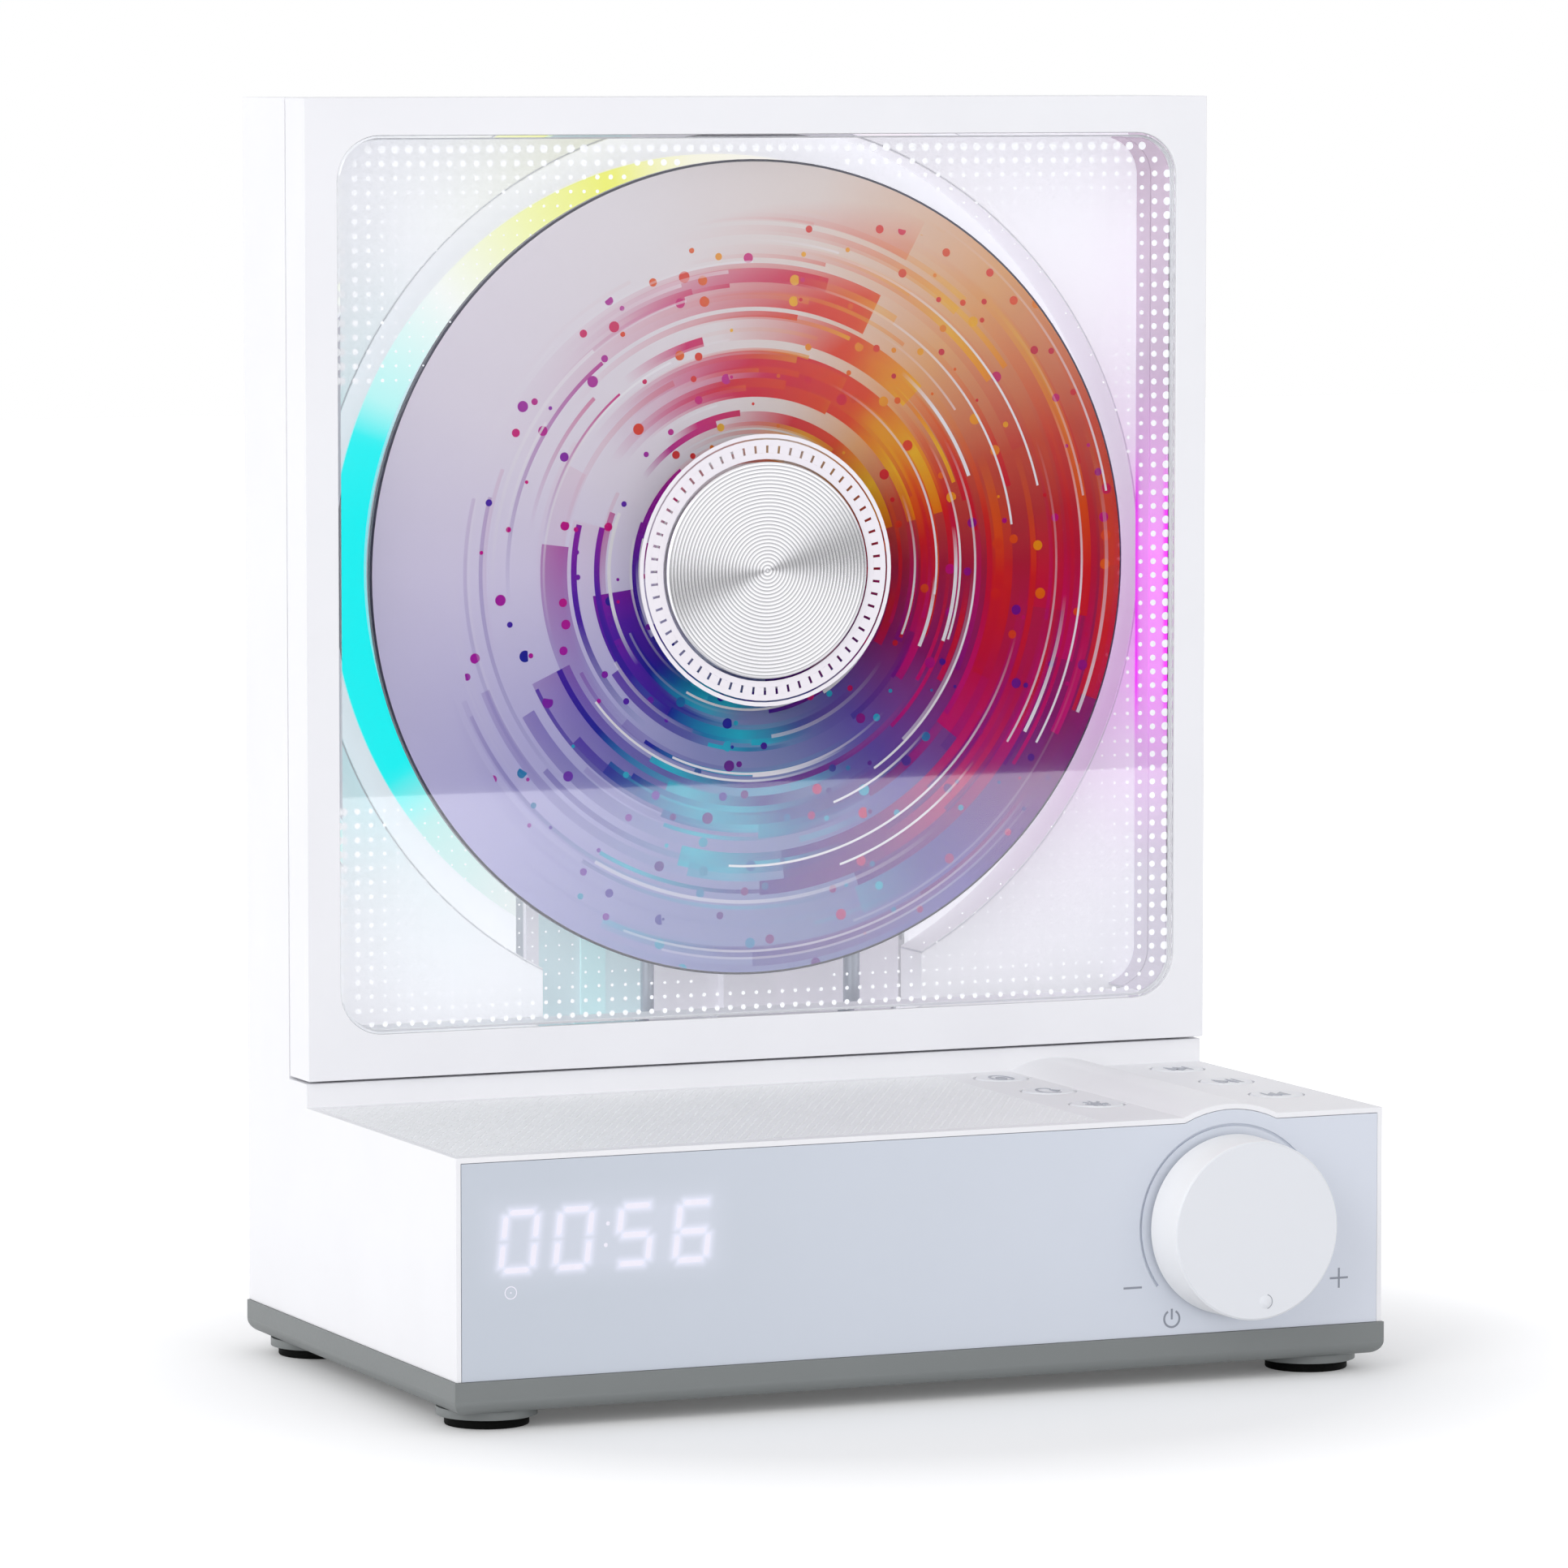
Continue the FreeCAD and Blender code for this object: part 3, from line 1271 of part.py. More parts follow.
node(group("hinge_pins", [
    rod(f"hinge_pin_{level}", "Z", ("hinge_x", "hinge_y", f"{z} - lug_height / 2 - pin_overlap"),
        "pin_radius", "lug_height + 2 * pin_overlap")
    for level, z in lug_places.items()
]), "hinge_pins")
node(group("hinge_brackets", [
    cut(
        f"hinge_bracket_{level}",
        union(
            f"hinge_bracket_blank_{level}",
            rod(f"lug_eye_{level}", "Z", ("hinge_x", "hinge_y", f"{z} - lug_height / 2"), "lug_half",
                "lug_height"),
            box(f"lug_arm_{level}", ("hinge_x - lug_half", "inner_x"), ("hinge_y", "deck_y - lug_rear_gap"),
                about(z, "lug_height / 2")),
        ),
        rod(f"lug_bore_{level}", "Z", ("hinge_x", "hinge_y", f"{z} - lug_height / 2 - overrun"),
            "pin_radius + pin_fit", "lug_height + 2 * overrun"),
    )
    for level, z in lug_places.items()
]), "hinge_brackets")
node(group("door_magnets", [
    box(f"door_magnet_{level}", catch_x, ("door_back_y - catch_thick", "door_back_y"),
        about(z, "catch_length / 2"))
    for level, z in catch_places.items()
]), "door_magnets")
node(group("housing_magnets", [
    box(f"housing_magnet_{level}", catch_x, ("seam_y", "seam_y + catch_thick"), about(z, "catch_length / 2"))
    for level, z in catch_places.items()
]), "housing_magnets")

# Disc clamp: a loose spool that the retainer on the window carries; its magnet draws it to the nose
node(turned("clamp_retainer", "Y", ("0", "pane_back_y", "spindle_z"), [
    ("retainer_radius - retainer_wall", "0"),
    ("retainer_radius", "0"),
    ("retainer_radius", "retainer_height"),
    ("clamp_neck_radius + clamp_play", "retainer_height"),
    ("clamp_neck_radius + clamp_play", "retainer_height - retainer_lip"),
    ("retainer_radius - retainer_wall", "retainer_height - retainer_lip"),
]), "clamp_retainer")
flange_radius = "retainer_radius - retainer_wall - clamp_play"
pad_back = "clamp_depth - clamp_gap"
pad_front = "retainer_height + clamp_play"
recess_front = f"{pad_back} - nose_depth"
magnet_front = f"{recess_front} - clamp_magnet_thick"
node(turned("clamp_spool", "Y", ("0", "pane_back_y", "spindle_z"), [
    ("0", "clamp_play"),
    (flange_radius, "clamp_play"),
    (flange_radius, "clamp_play + clamp_flange_thick"),
    ("clamp_neck_radius", "clamp_play + clamp_flange_thick"),
    ("clamp_neck_radius", pad_front),
    ("clamp_pad_radius", pad_front),
    ("clamp_pad_radius", pad_back),
    ("nose_radius + nose_room", pad_back),
    ("nose_radius + nose_room", recess_front),
    ("clamp_magnet_radius", recess_front),
    ("clamp_magnet_radius", magnet_front),
    ("0", magnet_front),
]), "clamp_spool")
node(rod("clamp_magnet", "Y", ("0", f"pane_back_y + {magnet_front}", "spindle_z"), "clamp_magnet_radius",
         "clamp_magnet_thick"), "clamp_magnet")

# Every object has to have come out whole before any file is written
doc.recompute()
for item in doc.Objects:
    if "Invalid" in item.State or "Error" in item.State:
        raise RuntimeError(f"{item.Name} did not build: {item.State}")
for item in nodes:
    if item.Shape.isNull() or not item.Shape.isValid():
        raise RuntimeError(f"{item.Label} has no valid shape")

os.makedirs("parts", exist_ok=True)
for item in nodes:
    item.Shape.exportStep(f"parts/{item.Label}.step")
    print(item.Label, len(item.Shape.Solids), round(item.Shape.Volume, 1))
whole = FreeCAD.BoundBox()
for item in nodes:
    whole.add(item.Shape.BoundBox)
print("nodes", len(nodes), "box", whole)
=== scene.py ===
import math
import bpy
from mathutils import Color, Euler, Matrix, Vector


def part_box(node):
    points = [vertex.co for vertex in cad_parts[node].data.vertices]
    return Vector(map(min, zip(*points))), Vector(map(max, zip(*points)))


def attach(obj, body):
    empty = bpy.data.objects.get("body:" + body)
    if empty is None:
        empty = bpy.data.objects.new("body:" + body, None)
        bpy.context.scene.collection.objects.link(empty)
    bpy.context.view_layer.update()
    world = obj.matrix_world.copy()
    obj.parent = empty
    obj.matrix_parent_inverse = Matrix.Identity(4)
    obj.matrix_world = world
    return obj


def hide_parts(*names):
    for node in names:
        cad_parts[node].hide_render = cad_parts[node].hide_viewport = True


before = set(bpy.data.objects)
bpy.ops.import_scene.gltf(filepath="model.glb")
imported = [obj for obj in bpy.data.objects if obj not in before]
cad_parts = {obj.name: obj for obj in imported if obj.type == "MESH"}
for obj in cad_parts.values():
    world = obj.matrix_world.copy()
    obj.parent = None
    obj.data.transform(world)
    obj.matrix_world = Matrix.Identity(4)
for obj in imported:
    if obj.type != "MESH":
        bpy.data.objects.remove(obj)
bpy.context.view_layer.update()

# Base plate and feet
# The base is one grey moulded tray under the whole player, with four round bosses. A black rubber
# pad is glued to each boss.
MM = 0.001
BASE_GREY = (126, 130, 130)
RUBBER_BLACK = (5, 6, 5)
BASE_EDGE = 0.35
PAD_EDGE = 0.2


def shade(red, green, blue):
    """A colour written in screen steps of 0 to 255, as a shader takes it."""
    return (*Color((red / 255, green / 255, blue / 255)).from_srgb_to_scene_linear(), 1.0)


def fill(tree, node, inputs):
    """Sets a node's inputs, and links those whose value comes out of another node."""
    for place, value in dict(inputs).items():
        if isinstance(value, bpy.types.NodeSocket):
            tree.links.new(value, node.inputs[place])
        else:
            node.inputs[place].default_value = value


def wire(tree, kind, inputs=(), **settings):
    """One node of a finish, with its settings and its inputs given."""
    node = tree.nodes.new("ShaderNode" + kind)
    for name, value in settings.items():
        setattr(node, name, value)
    fill(tree, node, inputs)
    return node


def worked(tree, operation, first, second=0.0):
    """The result of one sum on two numbers of a finish."""
    return wire(tree, "Math", {0: first, 1: second}, operation=operation).outputs[0]


def between(tree, share, first, second):
    """A colour that goes from the first to the second as the share goes from 0 to 1."""
    return wire(tree, "Mix", {0: share, 6: first, 7: second}, data_type="RGBA").outputs[2]


def mottled(tree, pattern, colour, loss):
    """A screen colour that loses a share of its light where a pattern is full."""
    return between(tree, pattern, shade(*colour), shade(*(step * (1 - loss) for step in colour)))


def spread(tree, value, low, high, start=0.0, end=1.0):
    """A number carried from the span start to end into the span low to high."""
    return wire(tree, "MapRange", {0: value, 1: start, 2: end, 3: low, 4: high}).outputs[0]


SPECKLE_DETAIL = 3.0


def speckle(tree, place, size):
    """A soft random pattern whose marks are about as wide as the given size in mm."""
    noise = {"Vector": place, "Scale": 1 / (size * MM), "Detail": SPECKLE_DETAIL}
    return wire(tree, "TexNoise", noise).outputs[0]


def opened(finish):
    """What a finish is made of: its node tree, its surface shader and the place on the piece."""
    tree = finish.node_tree
    return tree, tree.nodes["Principled BSDF"], wire(tree, "TexCoord").outputs["Object"]


def new_finish(name):
    """A blank finish: its material and what it is made of."""
    finish = bpy.data.materials.new(name)
    finish.use_nodes = True
    return finish, *opened(finish)


def roughen(tree, surface, height, depth):
    """Raises a finish by a height pattern whose full depth is given in mm."""
    bump = wire(tree, "Bump", {"Height": height, "Distance": depth * MM, "Strength": 1.0})
    fill(tree, surface, {"Normal": bump.outputs[0]})


CLOUD_SIZE = 18.0


def moulded(name, colour, dull=(0.36, 0.5), cloud=0.025, grain=0.3, depth=0.003, **constants):
    """Moulded plastic or rubber: a faint cloud in the colour, a fine tool grain and an uneven sheen."""
    finish, tree, surface, place = new_finish(name)
    clouds = speckle(tree, place, CLOUD_SIZE)
    grains = speckle(tree, place, grain)
    fill(tree, surface, {"Base Color": mottled(tree, clouds, colour, cloud),
                         "Roughness": spread(tree, grains, *dull)})
    fill(tree, surface, {socket.replace("_", " "): value for socket, value in constants.items()})
    roughen(tree, surface, grains, depth)
    return finish


BRUSH_STRETCH = (0.08, 1.0, 1.0)
BRUSH_LOSS = 0.12


def metal(name, colour, dull=(0.2, 0.34), grain=0.4, depth=0.002):
    """Plated or drawn metal: long fine draw marks in its gloss and a little in its colour."""
    finish, tree, surface, place = new_finish(name)
    drawn = wire(tree, "Mapping", {"Vector": place, "Scale": BRUSH_STRETCH}).outputs[0]
    marks = speckle(tree, drawn, grain)
    fill(tree, surface, {"Base Color": mottled(tree, marks, colour, BRUSH_LOSS),
                         "Roughness": spread(tree, marks, *dull), "Metallic": 1.0})
    roughen(tree, surface, marks, depth)
    return finish


def dress(finish, *names):
    """Puts a finish on carried-over pieces."""
    for name in names:
        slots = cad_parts[name].data.materials
        slots.clear()
        slots.append(finish)


WELD_REACH = 0.002
FLAT_TURN = math.radians(1.0)
EDGE_TURN = math.radians(35.0)
EDGE_STEPS = 2


def ease(width, *names):
    """Rounds the sharp edges of carried-over pieces by a width in mm, as moulding leaves them."""
    for name in names:
        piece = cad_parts[name]
        piece.modifiers.new("join", "WELD").merge_threshold = WELD_REACH * MM
        flats = piece.modifiers.new("flats", "DECIMATE")
        flats.decimate_type = "DISSOLVE"
        flats.angle_limit = FLAT_TURN
        edge = piece.modifiers.new("edge", "BEVEL")
        edge.width = width * MM
        edge.segments = EDGE_STEPS
        edge.limit_method = "ANGLE"
        edge.angle_limit = EDGE_TURN
        edge.harden_normals = True


base_grey = moulded("base_grey", BASE_GREY, dull=(0.42, 0.56), grain=0.4)
rubber = moulded("black_rubber", RUBBER_BLACK, dull=(0.6, 0.75), cloud=0.2, depth=0.008,
                 Specular_IOR_Level=0.12)
dress(base_grey, "base_plate")
dress(rubber, "foot_pads", "damper_bushes")
ease(BASE_EDGE, "base_plate")
ease(PAD_EDGE, "foot_pads")

# Main board, battery and sockets
# A green glass-fibre board lies on the base with the battery in its black holder behind it. The
# charging socket is a drawn steel shell, the audio jack a black moulding; both face the rear.
BOARD_GREEN = (38, 92, 62)
TRACE_GREEN = (58, 120, 80)
HOLDER_BLACK = (30, 31, 33)
CELL_BLUE = (58, 92, 150)
STEEL_GREY = (190, 192, 196)
TRACE_PITCH = 1.2
TRACE_STRAY = 0.35
TRACE_SHARE = 0.62
TRACE_DULL = (0.45, 0.3)
TRACE_DEPTH = 0.03


def board(name, colour, trace_colour):
    """A circuit board: copper traces that show through the lacquer as raised lighter lines."""
    finish, tree, surface, place = new_finish(name)
    grid = {"Vector": place, "Scale": 1 / (TRACE_PITCH * MM), "Randomness": TRACE_STRAY}
    cells = wire(tree, "TexVoronoi", grid, distance="CHEBYCHEV").outputs["Distance"]
    traces = worked(tree, "GREATER_THAN", cells, TRACE_SHARE / 2)
    fill(tree, surface, {"Base Color": between(tree, traces, shade(*colour), shade(*trace_colour)),
                         "Roughness": spread(tree, traces, *TRACE_DULL)})
    roughen(tree, surface, traces, TRACE_DEPTH)
    return finish


board_green = board("board_green", BOARD_GREEN, TRACE_GREEN)
holder_black = moulded("black_moulding", HOLDER_BLACK, cloud=0.15)
cell_wrap = moulded("cell_wrap", CELL_BLUE, dull=(0.22, 0.3), cloud=0.08)
bright_steel = metal("bright_steel", STEEL_GREY)
dress(board_green, "main_board", "key_board")
dress(holder_black, "battery_holder", "audio_jack", "encoder_body", "tact_switches")
dress(cell_wrap, "battery_cell")
dress(bright_steel, "charging_socket", "encoder_nut", "encoder_shaft", "encoder_plunger", "spindle_shaft",
      "hinge_pins", "hinge_brackets")

# Housing and rear cover
# One white moulded shell makes the console, the ledge and the upright tower. Its front rim frames
# the panel and rises in an arch over the knob. The rear cover is a flat lid let into the back.
SHELL_WHITE = (244, 244, 247)
SHELL_EDGE = 0.3

shell_white = moulded("white_shell", SHELL_WHITE, dull=(0.38, 0.5))
dress(shell_white, "main_housing", "rear_cover")
ease(SHELL_EDGE, "main_housing", "rear_cover")

# Speakers and their grille
# Two paper-cone drivers hang under the console's top. Above them lies a thin white sheet with
# staggered round perforations, let in flush with the top; a pale film under it keeps dust out.
GRILLE_WHITE = (250, 251, 253)
FILM_GREY = (242, 244, 248)
FILM_SHARE = 0.35
FILM_WEAVE = 0.2
CONE_GREY = (70, 72, 76)
BASKET_GREY = (120, 122, 126)
MAGNET_GREY = (92, 94, 98)
HOLE_PITCH = 1.35
HOLE_RADIUS = 0.24
ROW_SHARE = math.sqrt(3) / 2
HOLE_SIDES = 8
HOLE_START = 225
JOIN_DIGITS = 7


def new_piece(name, points, faces, finish, body, slot=None):
    """A mesh piece in its finish that rides on a body of the player."""
    mesh = bpy.data.meshes.new(name)
    mesh.from_pydata(points, [], faces)
    mesh.validate()
    mesh.materials.append(finish)
    piece = bpy.data.objects.new(name, mesh)
    bpy.context.collection.objects.link(piece)
    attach(piece, body)
    return piece


def perforated_sheet(low, high):
    """The top side of a sheet laid like brickwork, with a round hole in the middle of each brick."""
    columns = round((high.x - low.x) / (HOLE_PITCH * MM))
    rows = round((high.y - low.y) / (HOLE_PITCH * ROW_SHARE * MM))
    step_x = (high.x - low.x) / columns
    step_y = (high.y - low.y) / rows
    turns = [math.radians(HOLE_START + 360 * side / HOLE_SIDES) for side in range(HOLE_SIDES)]
    found = {}
    faces = []

    def corner(across, along):
        return found.setdefault((round(across, JOIN_DIGITS), round(along, JOIN_DIGITS)), len(found))

    for row in range(rows):
        front = low.y + row * step_y
        middle = front + step_y / 2
        back = front + step_y
        shift = row % 2 * step_x / 2
        if shift:
            for left in (low.x, high.x - shift):
                outline = [(left, front), (left + shift, front), (left + shift, middle),
                           (left + shift, back), (left, back), (left, middle)]
                faces.append([corner(*point) for point in outline])
        for column in range(columns - row % 2):
            left = low.x + shift + column * step_x
            centre = left + step_x / 2
            right = left + step_x
            outline = [(left, front), (centre, front), (right, front), (right, middle),
                       (right, back), (centre, back), (left, back), (left, middle)]
            hole = [(centre + HOLE_RADIUS * MM * math.cos(turn), middle + HOLE_RADIUS * MM * math.sin(turn))
                    for turn in turns]
            for side in range(HOLE_SIDES):
                after = (side + 1) % HOLE_SIDES
                faces.append([corner(*outline[side]), corner(*outline[after]),
                              corner(*hole[after]), corner(*hole[side])])
    return [(across, along, high.z) for across, along in found], faces


def lofted(first, count, rings=2):
    """The faces of a closed skin over rings of points, numbered from first, with both end rings capped."""
    last = first + count * (rings - 1)
    faces = [list(range(first, first + count)), list(reversed(range(last, last + count)))]
    for level in range(first, last, count):
        faces += [(level + i, level + count + i, level + count + (i + 1) % count, level + (i + 1) % count)
                  for i in range(count)]
    return faces


grille_white = moulded("grille_white", GRILLE_WHITE, dull=(0.4, 0.52))
paper_cone = moulded("paper_cone", CONE_GREY, dull=(0.75, 0.9), cloud=0.3, grain=0.5, depth=0.03)
basket_grey = moulded("basket_grey", BASKET_GREY, dull=(0.4, 0.55))
magnet_grey = metal("magnet_grey", MAGNET_GREY, dull=(0.35, 0.5))
grille_low, grille_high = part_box("speaker_grille")
grille = new_piece("perforated_grille", *perforated_sheet(grille_low, grille_high), grille_white, "case",
                   "grille_white")
sheet = grille.modifiers.new("sheet", "SOLIDIFY")
sheet.thickness = (grille_high.z - grille_low.z) * (1 - FILM_SHARE)
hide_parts("speaker_grille")
film_grey = moulded("film_grey", FILM_GREY, dull=(0.6, 0.75), cloud=0.05, grain=FILM_WEAVE, depth=0.01)
film_top = grille_low.z + (grille_high.z - grille_low.z) * FILM_SHARE
film_rows = [(grille_low.y, grille_low.z), (grille_high.y, grille_low.z), (grille_high.y, film_top),
             (grille_low.y, film_top)]
film_sides = (grille_high.x, grille_low.x)
film_points = [(across, along, height) for across in film_sides for along, height in film_rows]
new_piece("grille_film", film_points, lofted(0, len(film_rows)), film_grey, "case", "grille_white")
dress(basket_grey, "speaker_baskets")
dress(paper_cone, "speaker_cone_left", "speaker_cone_right")
dress(magnet_grey, "speaker_magnets", "clamp_magnet", "door_magnets", "housing_magnets")

# Keys
# Six round white caps stand flush in the console's top, three on each side of the ridge. Each is
# moulded with its flange, rests on a small switch and carries a grey sign let into its hollow.
KEY_WHITE = (240, 241, 245)
INK_GREY = (184, 187, 196)
INK_THICK = 0.02
KEY_DISH = 0.25
SIGN_THICK = 0.21
SIGN_SIZE = 1.5
SIGN_LINE = 0.35
SIGN_STRETCH = 1.8
ARC_STEP = math.radians(5)
SPOT_HOLE = 0.01
SPOT_END = 350
RAY_MIDDLE = 0.9
RAY_LENGTH = 0.5
RAY_HALF = 8
RAY_STEP = 45
SKIP_HALF = 0.7
REPEAT_SWEEP = (40, 320)
REPEAT_ARROW = (0.5, 1.3, 0.5)
PLAY_TIP = 0.2
PLAY_HALF = 0.8
PAUSE_LEFTS = (0.5, 1.1)
KEYS = ("key_mode", "key_repeat", "key_light", "key_next", "key_play", "key_previous")
AHEAD = Vector((0, 1, 0))
ACROSS = Vector((1, 0, 0))
UPWARD = Vector((0, 0, 1))

key_white = moulded("key_white", KEY_WHITE)
grey_ink = moulded("grey_ink", INK_GREY, dull=(0.45, 0.55), cloud=0.05)
dress(key_white, *KEYS)


def printed(name, outlines, at, right, up, ink, body, slot=None, thick=INK_THICK):
    """Flat marks: outlines in mm about a point of a surface, along its right and up directions."""
    out = right.cross(up)
    points = []
    faces = []
    for outline in outlines:
        faces += lofted(len(points), len(outline))
        for height in (thick, 0.0):
            points += [at + (right * across + up * along + out * height) * MM for across, along in outline]
    return new_piece(name, points, faces, ink, body, slot)


def band(radius, width, start, end, across=0.0, along=0.0):
    """The outline of an arc of a given line width, from one turn to another in degrees."""
    start, end = math.radians(start), math.radians(end)
    steps = max(2, math.ceil((end - start) / ARC_STEP))
    turns = [start + (end - start) * i / steps for i in range(steps + 1)]
    rims = ((radius + width / 2, turns), (radius - width / 2, turns[::-1]))
    return [(across + rim * math.cos(turn), along + rim * math.sin(turn))
            for rim, way in rims for turn in way]


def bar(left, low, right, high):
    """The outline of an upright rectangle."""
    return [(left, low), (right, low), (right, high), (left, high)]


def arrow(left, right, half):
    """The outline of a triangle that points from left to right."""
    corners = [(left, -half), (right, 0.0), (left, half)]
    return corners if right > left else corners[::-1]


def circle(radius, line):
    """The outlines of a full ring of a given line width, in two halves."""
    return [band(radius, line, 0, 180), band(radius, line, 180, 360)]


def spot(radius, across=0.0, along=0.0):
    """The outline of a filled round spot, drawn as one wide arc."""
    return band(radius / 2, radius - SPOT_HOLE, 0, SPOT_END, across, along)


def key_sign(name):
    """The outlines of a key's sign, with its parts given as shares of its size."""
    size, line = SIGN_SIZE, SIGN_LINE
    rays = [band(size * RAY_MIDDLE, size * RAY_LENGTH, turn - RAY_HALF, turn + RAY_HALF)
            for turn in range(0, 360, RAY_STEP)]
    half = size * SKIP_HALF
    skip = [arrow(-size, 0, half), arrow(0, size, half), bar(size, -half, size + line, half)]
    tall = size * PLAY_HALF
    pause = [bar(size * left, -tall, size * left + line, tall) for left in PAUSE_LEFTS]
    signs = {
        "key_mode": circle(size, line) + [spot(size / 2)],
        "key_repeat": [band(size, line, *REPEAT_SWEEP), arrow(*(size * share for share in REPEAT_ARROW))],
        "key_light": rays + [spot(size / 2)],
        "key_next": skip,
        "key_play": [arrow(-size, size * PLAY_TIP, tall)] + pause,
        "key_previous": [[(-across, along) for across, along in reversed(outline)] for outline in skip],
    }
    return [[(across, along * SIGN_STRETCH) for across, along in outline] for outline in signs[name]]


for name in KEYS:
    low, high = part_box(name)
    hollow = Vector(((low.x + high.x) / 2, (low.y + high.y) / 2, high.z - KEY_DISH * MM))
    printed(f"{name}_sign", key_sign(name), hollow, ACROSS, AHEAD, grey_ink, name, thick=SIGN_THICK)

# Front panel and display
# The panel is a flush sheet of frosted acrylic, painted pale blue-grey behind; light is painted on it, so
# that it is lighter towards the right. White lamps in the display block shine through it as four slanted
# digits, with a lilac glow painted round them on the panel, and small signs are printed round the knob.
PANEL_SHADED_LEFT = (198, 205, 216)
PANEL_LIT_RIGHT = (217, 222, 233)
PANEL_CLOUD = 0.015
PANEL_INK = (146, 151, 163)
DIGIT_WHITE = (246, 242, 254)
DIGIT_UNLIT = (70, 72, 80)
DIGIT_GLOW = 0.9
DIGIT_LEFTS = (-65.3, -57.2, -48.1, -39.3)
DIGIT_LOW = 22.1
DIGIT_WIDTH = 5.4
DIGIT_HEIGHT = 8.8
DIGIT_SLANT = 0.11
STROKE = 0.75
STROKE_GAP = 0.45
COLON_X = -49.6
COLON_SHARES = (0.36, 0.7)
COLON_RADIUS = 0.3
SHOWN = ("abcdef", "abcdef", "acdfg", "acdefg")
BAR_PAINTED_GLOW = 0.22
BAR_REACH = 1.2
HALO_LILAC = (236, 226, 252)
HALO_PAINTED_GLOW = 0.07
HALO_REACH = 5.0
HALO_HALF_WIDTH = 15.5
HALO_HALF_HEIGHT = 3.6
DISC_SIGN_AT = (-63.4, 19.4)
DISC_SIGN_RADIUS = 0.85
DISC_SIGN_LINE = 0.12
MINUS_AT = (31.7, 14.5)
PLUS_AT = (64.6, 14.05)
POWER_AT = (37.9, 9.7)
SIGN_REACH = 1.45
POWER_REACH = 1.2
PANEL_LINE = 0.3
POWER_SWEEP = (120, 420)
POWER_BAR = (-0.1, 1.44)
FLICKER_SIZE = 0.8
FLICKER_LOSS = 0.03
GLOW_FALL = 2.0


def outside(tree, value, middle, half):
    """How far a number in metres lies outside a span given in mm by its middle and half width."""
    off = worked(tree, "ABSOLUTE", worked(tree, "SUBTRACT", value, middle * MM))
    return worked(tree, "MAXIMUM", worked(tree, "SUBTRACT", off, half * MM))


def parted(tree, place):
    """The three numbers of a place on the piece."""
    return wire(tree, "SeparateXYZ", {0: place}).outputs


def apart(tree, across, upward):
    """The straight distance to a place that lies so far across and so far up."""
    step = wire(tree, "CombineXYZ", {0: across, 2: upward}).outputs[0]
    return wire(tree, "VectorMath", {0: step}, operation="LENGTH").outputs["Value"]


def off_box(tree, across, along, left, low, right, high):
    """How far a place in metres lies outside an upright rectangle given in mm."""
    off_x = outside(tree, across, (left + right) / 2, (right - left) / 2)
    off_z = outside(tree, along, (low + high) / 2, (high - low) / 2)
    return apart(tree, off_x, off_z)


def fading(tree, distance, reach, level):
    """A glow that falls from a level to nothing over a reach in mm, fast at first."""
    share = worked(tree, "POWER", spread(tree, distance, 1.0, 0.0, 0.0, reach * MM), GLOW_FALL)
    return worked(tree, "MULTIPLY", share, level)


def digit_bars(lit, left):
    """The lit bars of one digit as upright rectangles, before the slant."""
    half, gap = STROKE / 2, STROKE_GAP
    wide, tall = DIGIT_WIDTH, DIGIT_HEIGHT
    level = {"d": half, "g": tall / 2, "a": tall - half}
    side = {"e": (half, half), "c": (wide - half, half), "f": (half, tall / 2), "b": (wide - half, tall / 2)}
    bars = []
    for name in lit:
        if name in level:
            box = (half + gap, level[name] - half, wide - half - gap, level[name] + half)
        else:
            across, low = side[name]
            box = (across - half, low + gap, across + half, low + tall / 2 - half - gap)
        bars.append((left + box[0], DIGIT_LOW + box[1], left + box[2], DIGIT_LOW + box[3]))
    return bars


def stroke(left, low, right, high):
    """A lamp bar with pointed ends, along its longer side, slanted as a display slants it."""
    half = STROKE / 2
    if right - left > high - low:
        middle = (low + high) / 2
        outline = [(left, middle), (left + half, low), (right - half, low),
                   (right, middle), (right - half, high), (left + half, high)]
    else:
        middle = (left + right) / 2
        outline = [(middle, low), (right, low + half), (right, high - half),
                   (middle, high), (left, high - half), (left, low + half)]
    return [(across + DIGIT_SLANT * (along - DIGIT_LOW), along) for across, along in outline]


def moved(outlines, place):
    """Outlines carried to a place."""
    return [[(across + place[0], along + place[1]) for across, along in outline] for outline in outlines]


panel_low, panel_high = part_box("front_panel")
lamp_bars = [box for lit, left in zip(SHOWN, DIGIT_LEFTS) for box in digit_bars(lit, left)]
panel_frost = moulded("panel_frost", PANEL_SHADED_LEFT, dull=(0.3, 0.4), Coat_Weight=0.3, Coat_Roughness=0.2)
tree, surface, place = opened(panel_frost)
parts = parted(tree, place)
clouds = speckle(tree, place, CLOUD_SIZE)
# Painted light: the panel's colour goes from a shaded left to a lit right.
painted_light_across = spread(tree, parts[0], 0.0, 1.0, panel_low.x, panel_high.x)
paint_and_light = between(tree, painted_light_across, mottled(tree, clouds, PANEL_SHADED_LEFT, PANEL_CLOUD),
                mottled(tree, clouds, PANEL_LIT_RIGHT, PANEL_CLOUD))
lean = worked(tree, "MULTIPLY", worked(tree, "SUBTRACT", parts[2], DIGIT_LOW * MM), DIGIT_SLANT)
upright = worked(tree, "SUBTRACT", parts[0], lean)
nearest = HALO_REACH * MM
for box in lamp_bars:
    nearest = worked(tree, "MINIMUM", nearest, off_box(tree, upright, parts[2], *box))
halo_x = (DIGIT_LEFTS[0] + DIGIT_LEFTS[-1] + DIGIT_WIDTH) / 2
halo_z = DIGIT_LOW + DIGIT_HEIGHT / 2
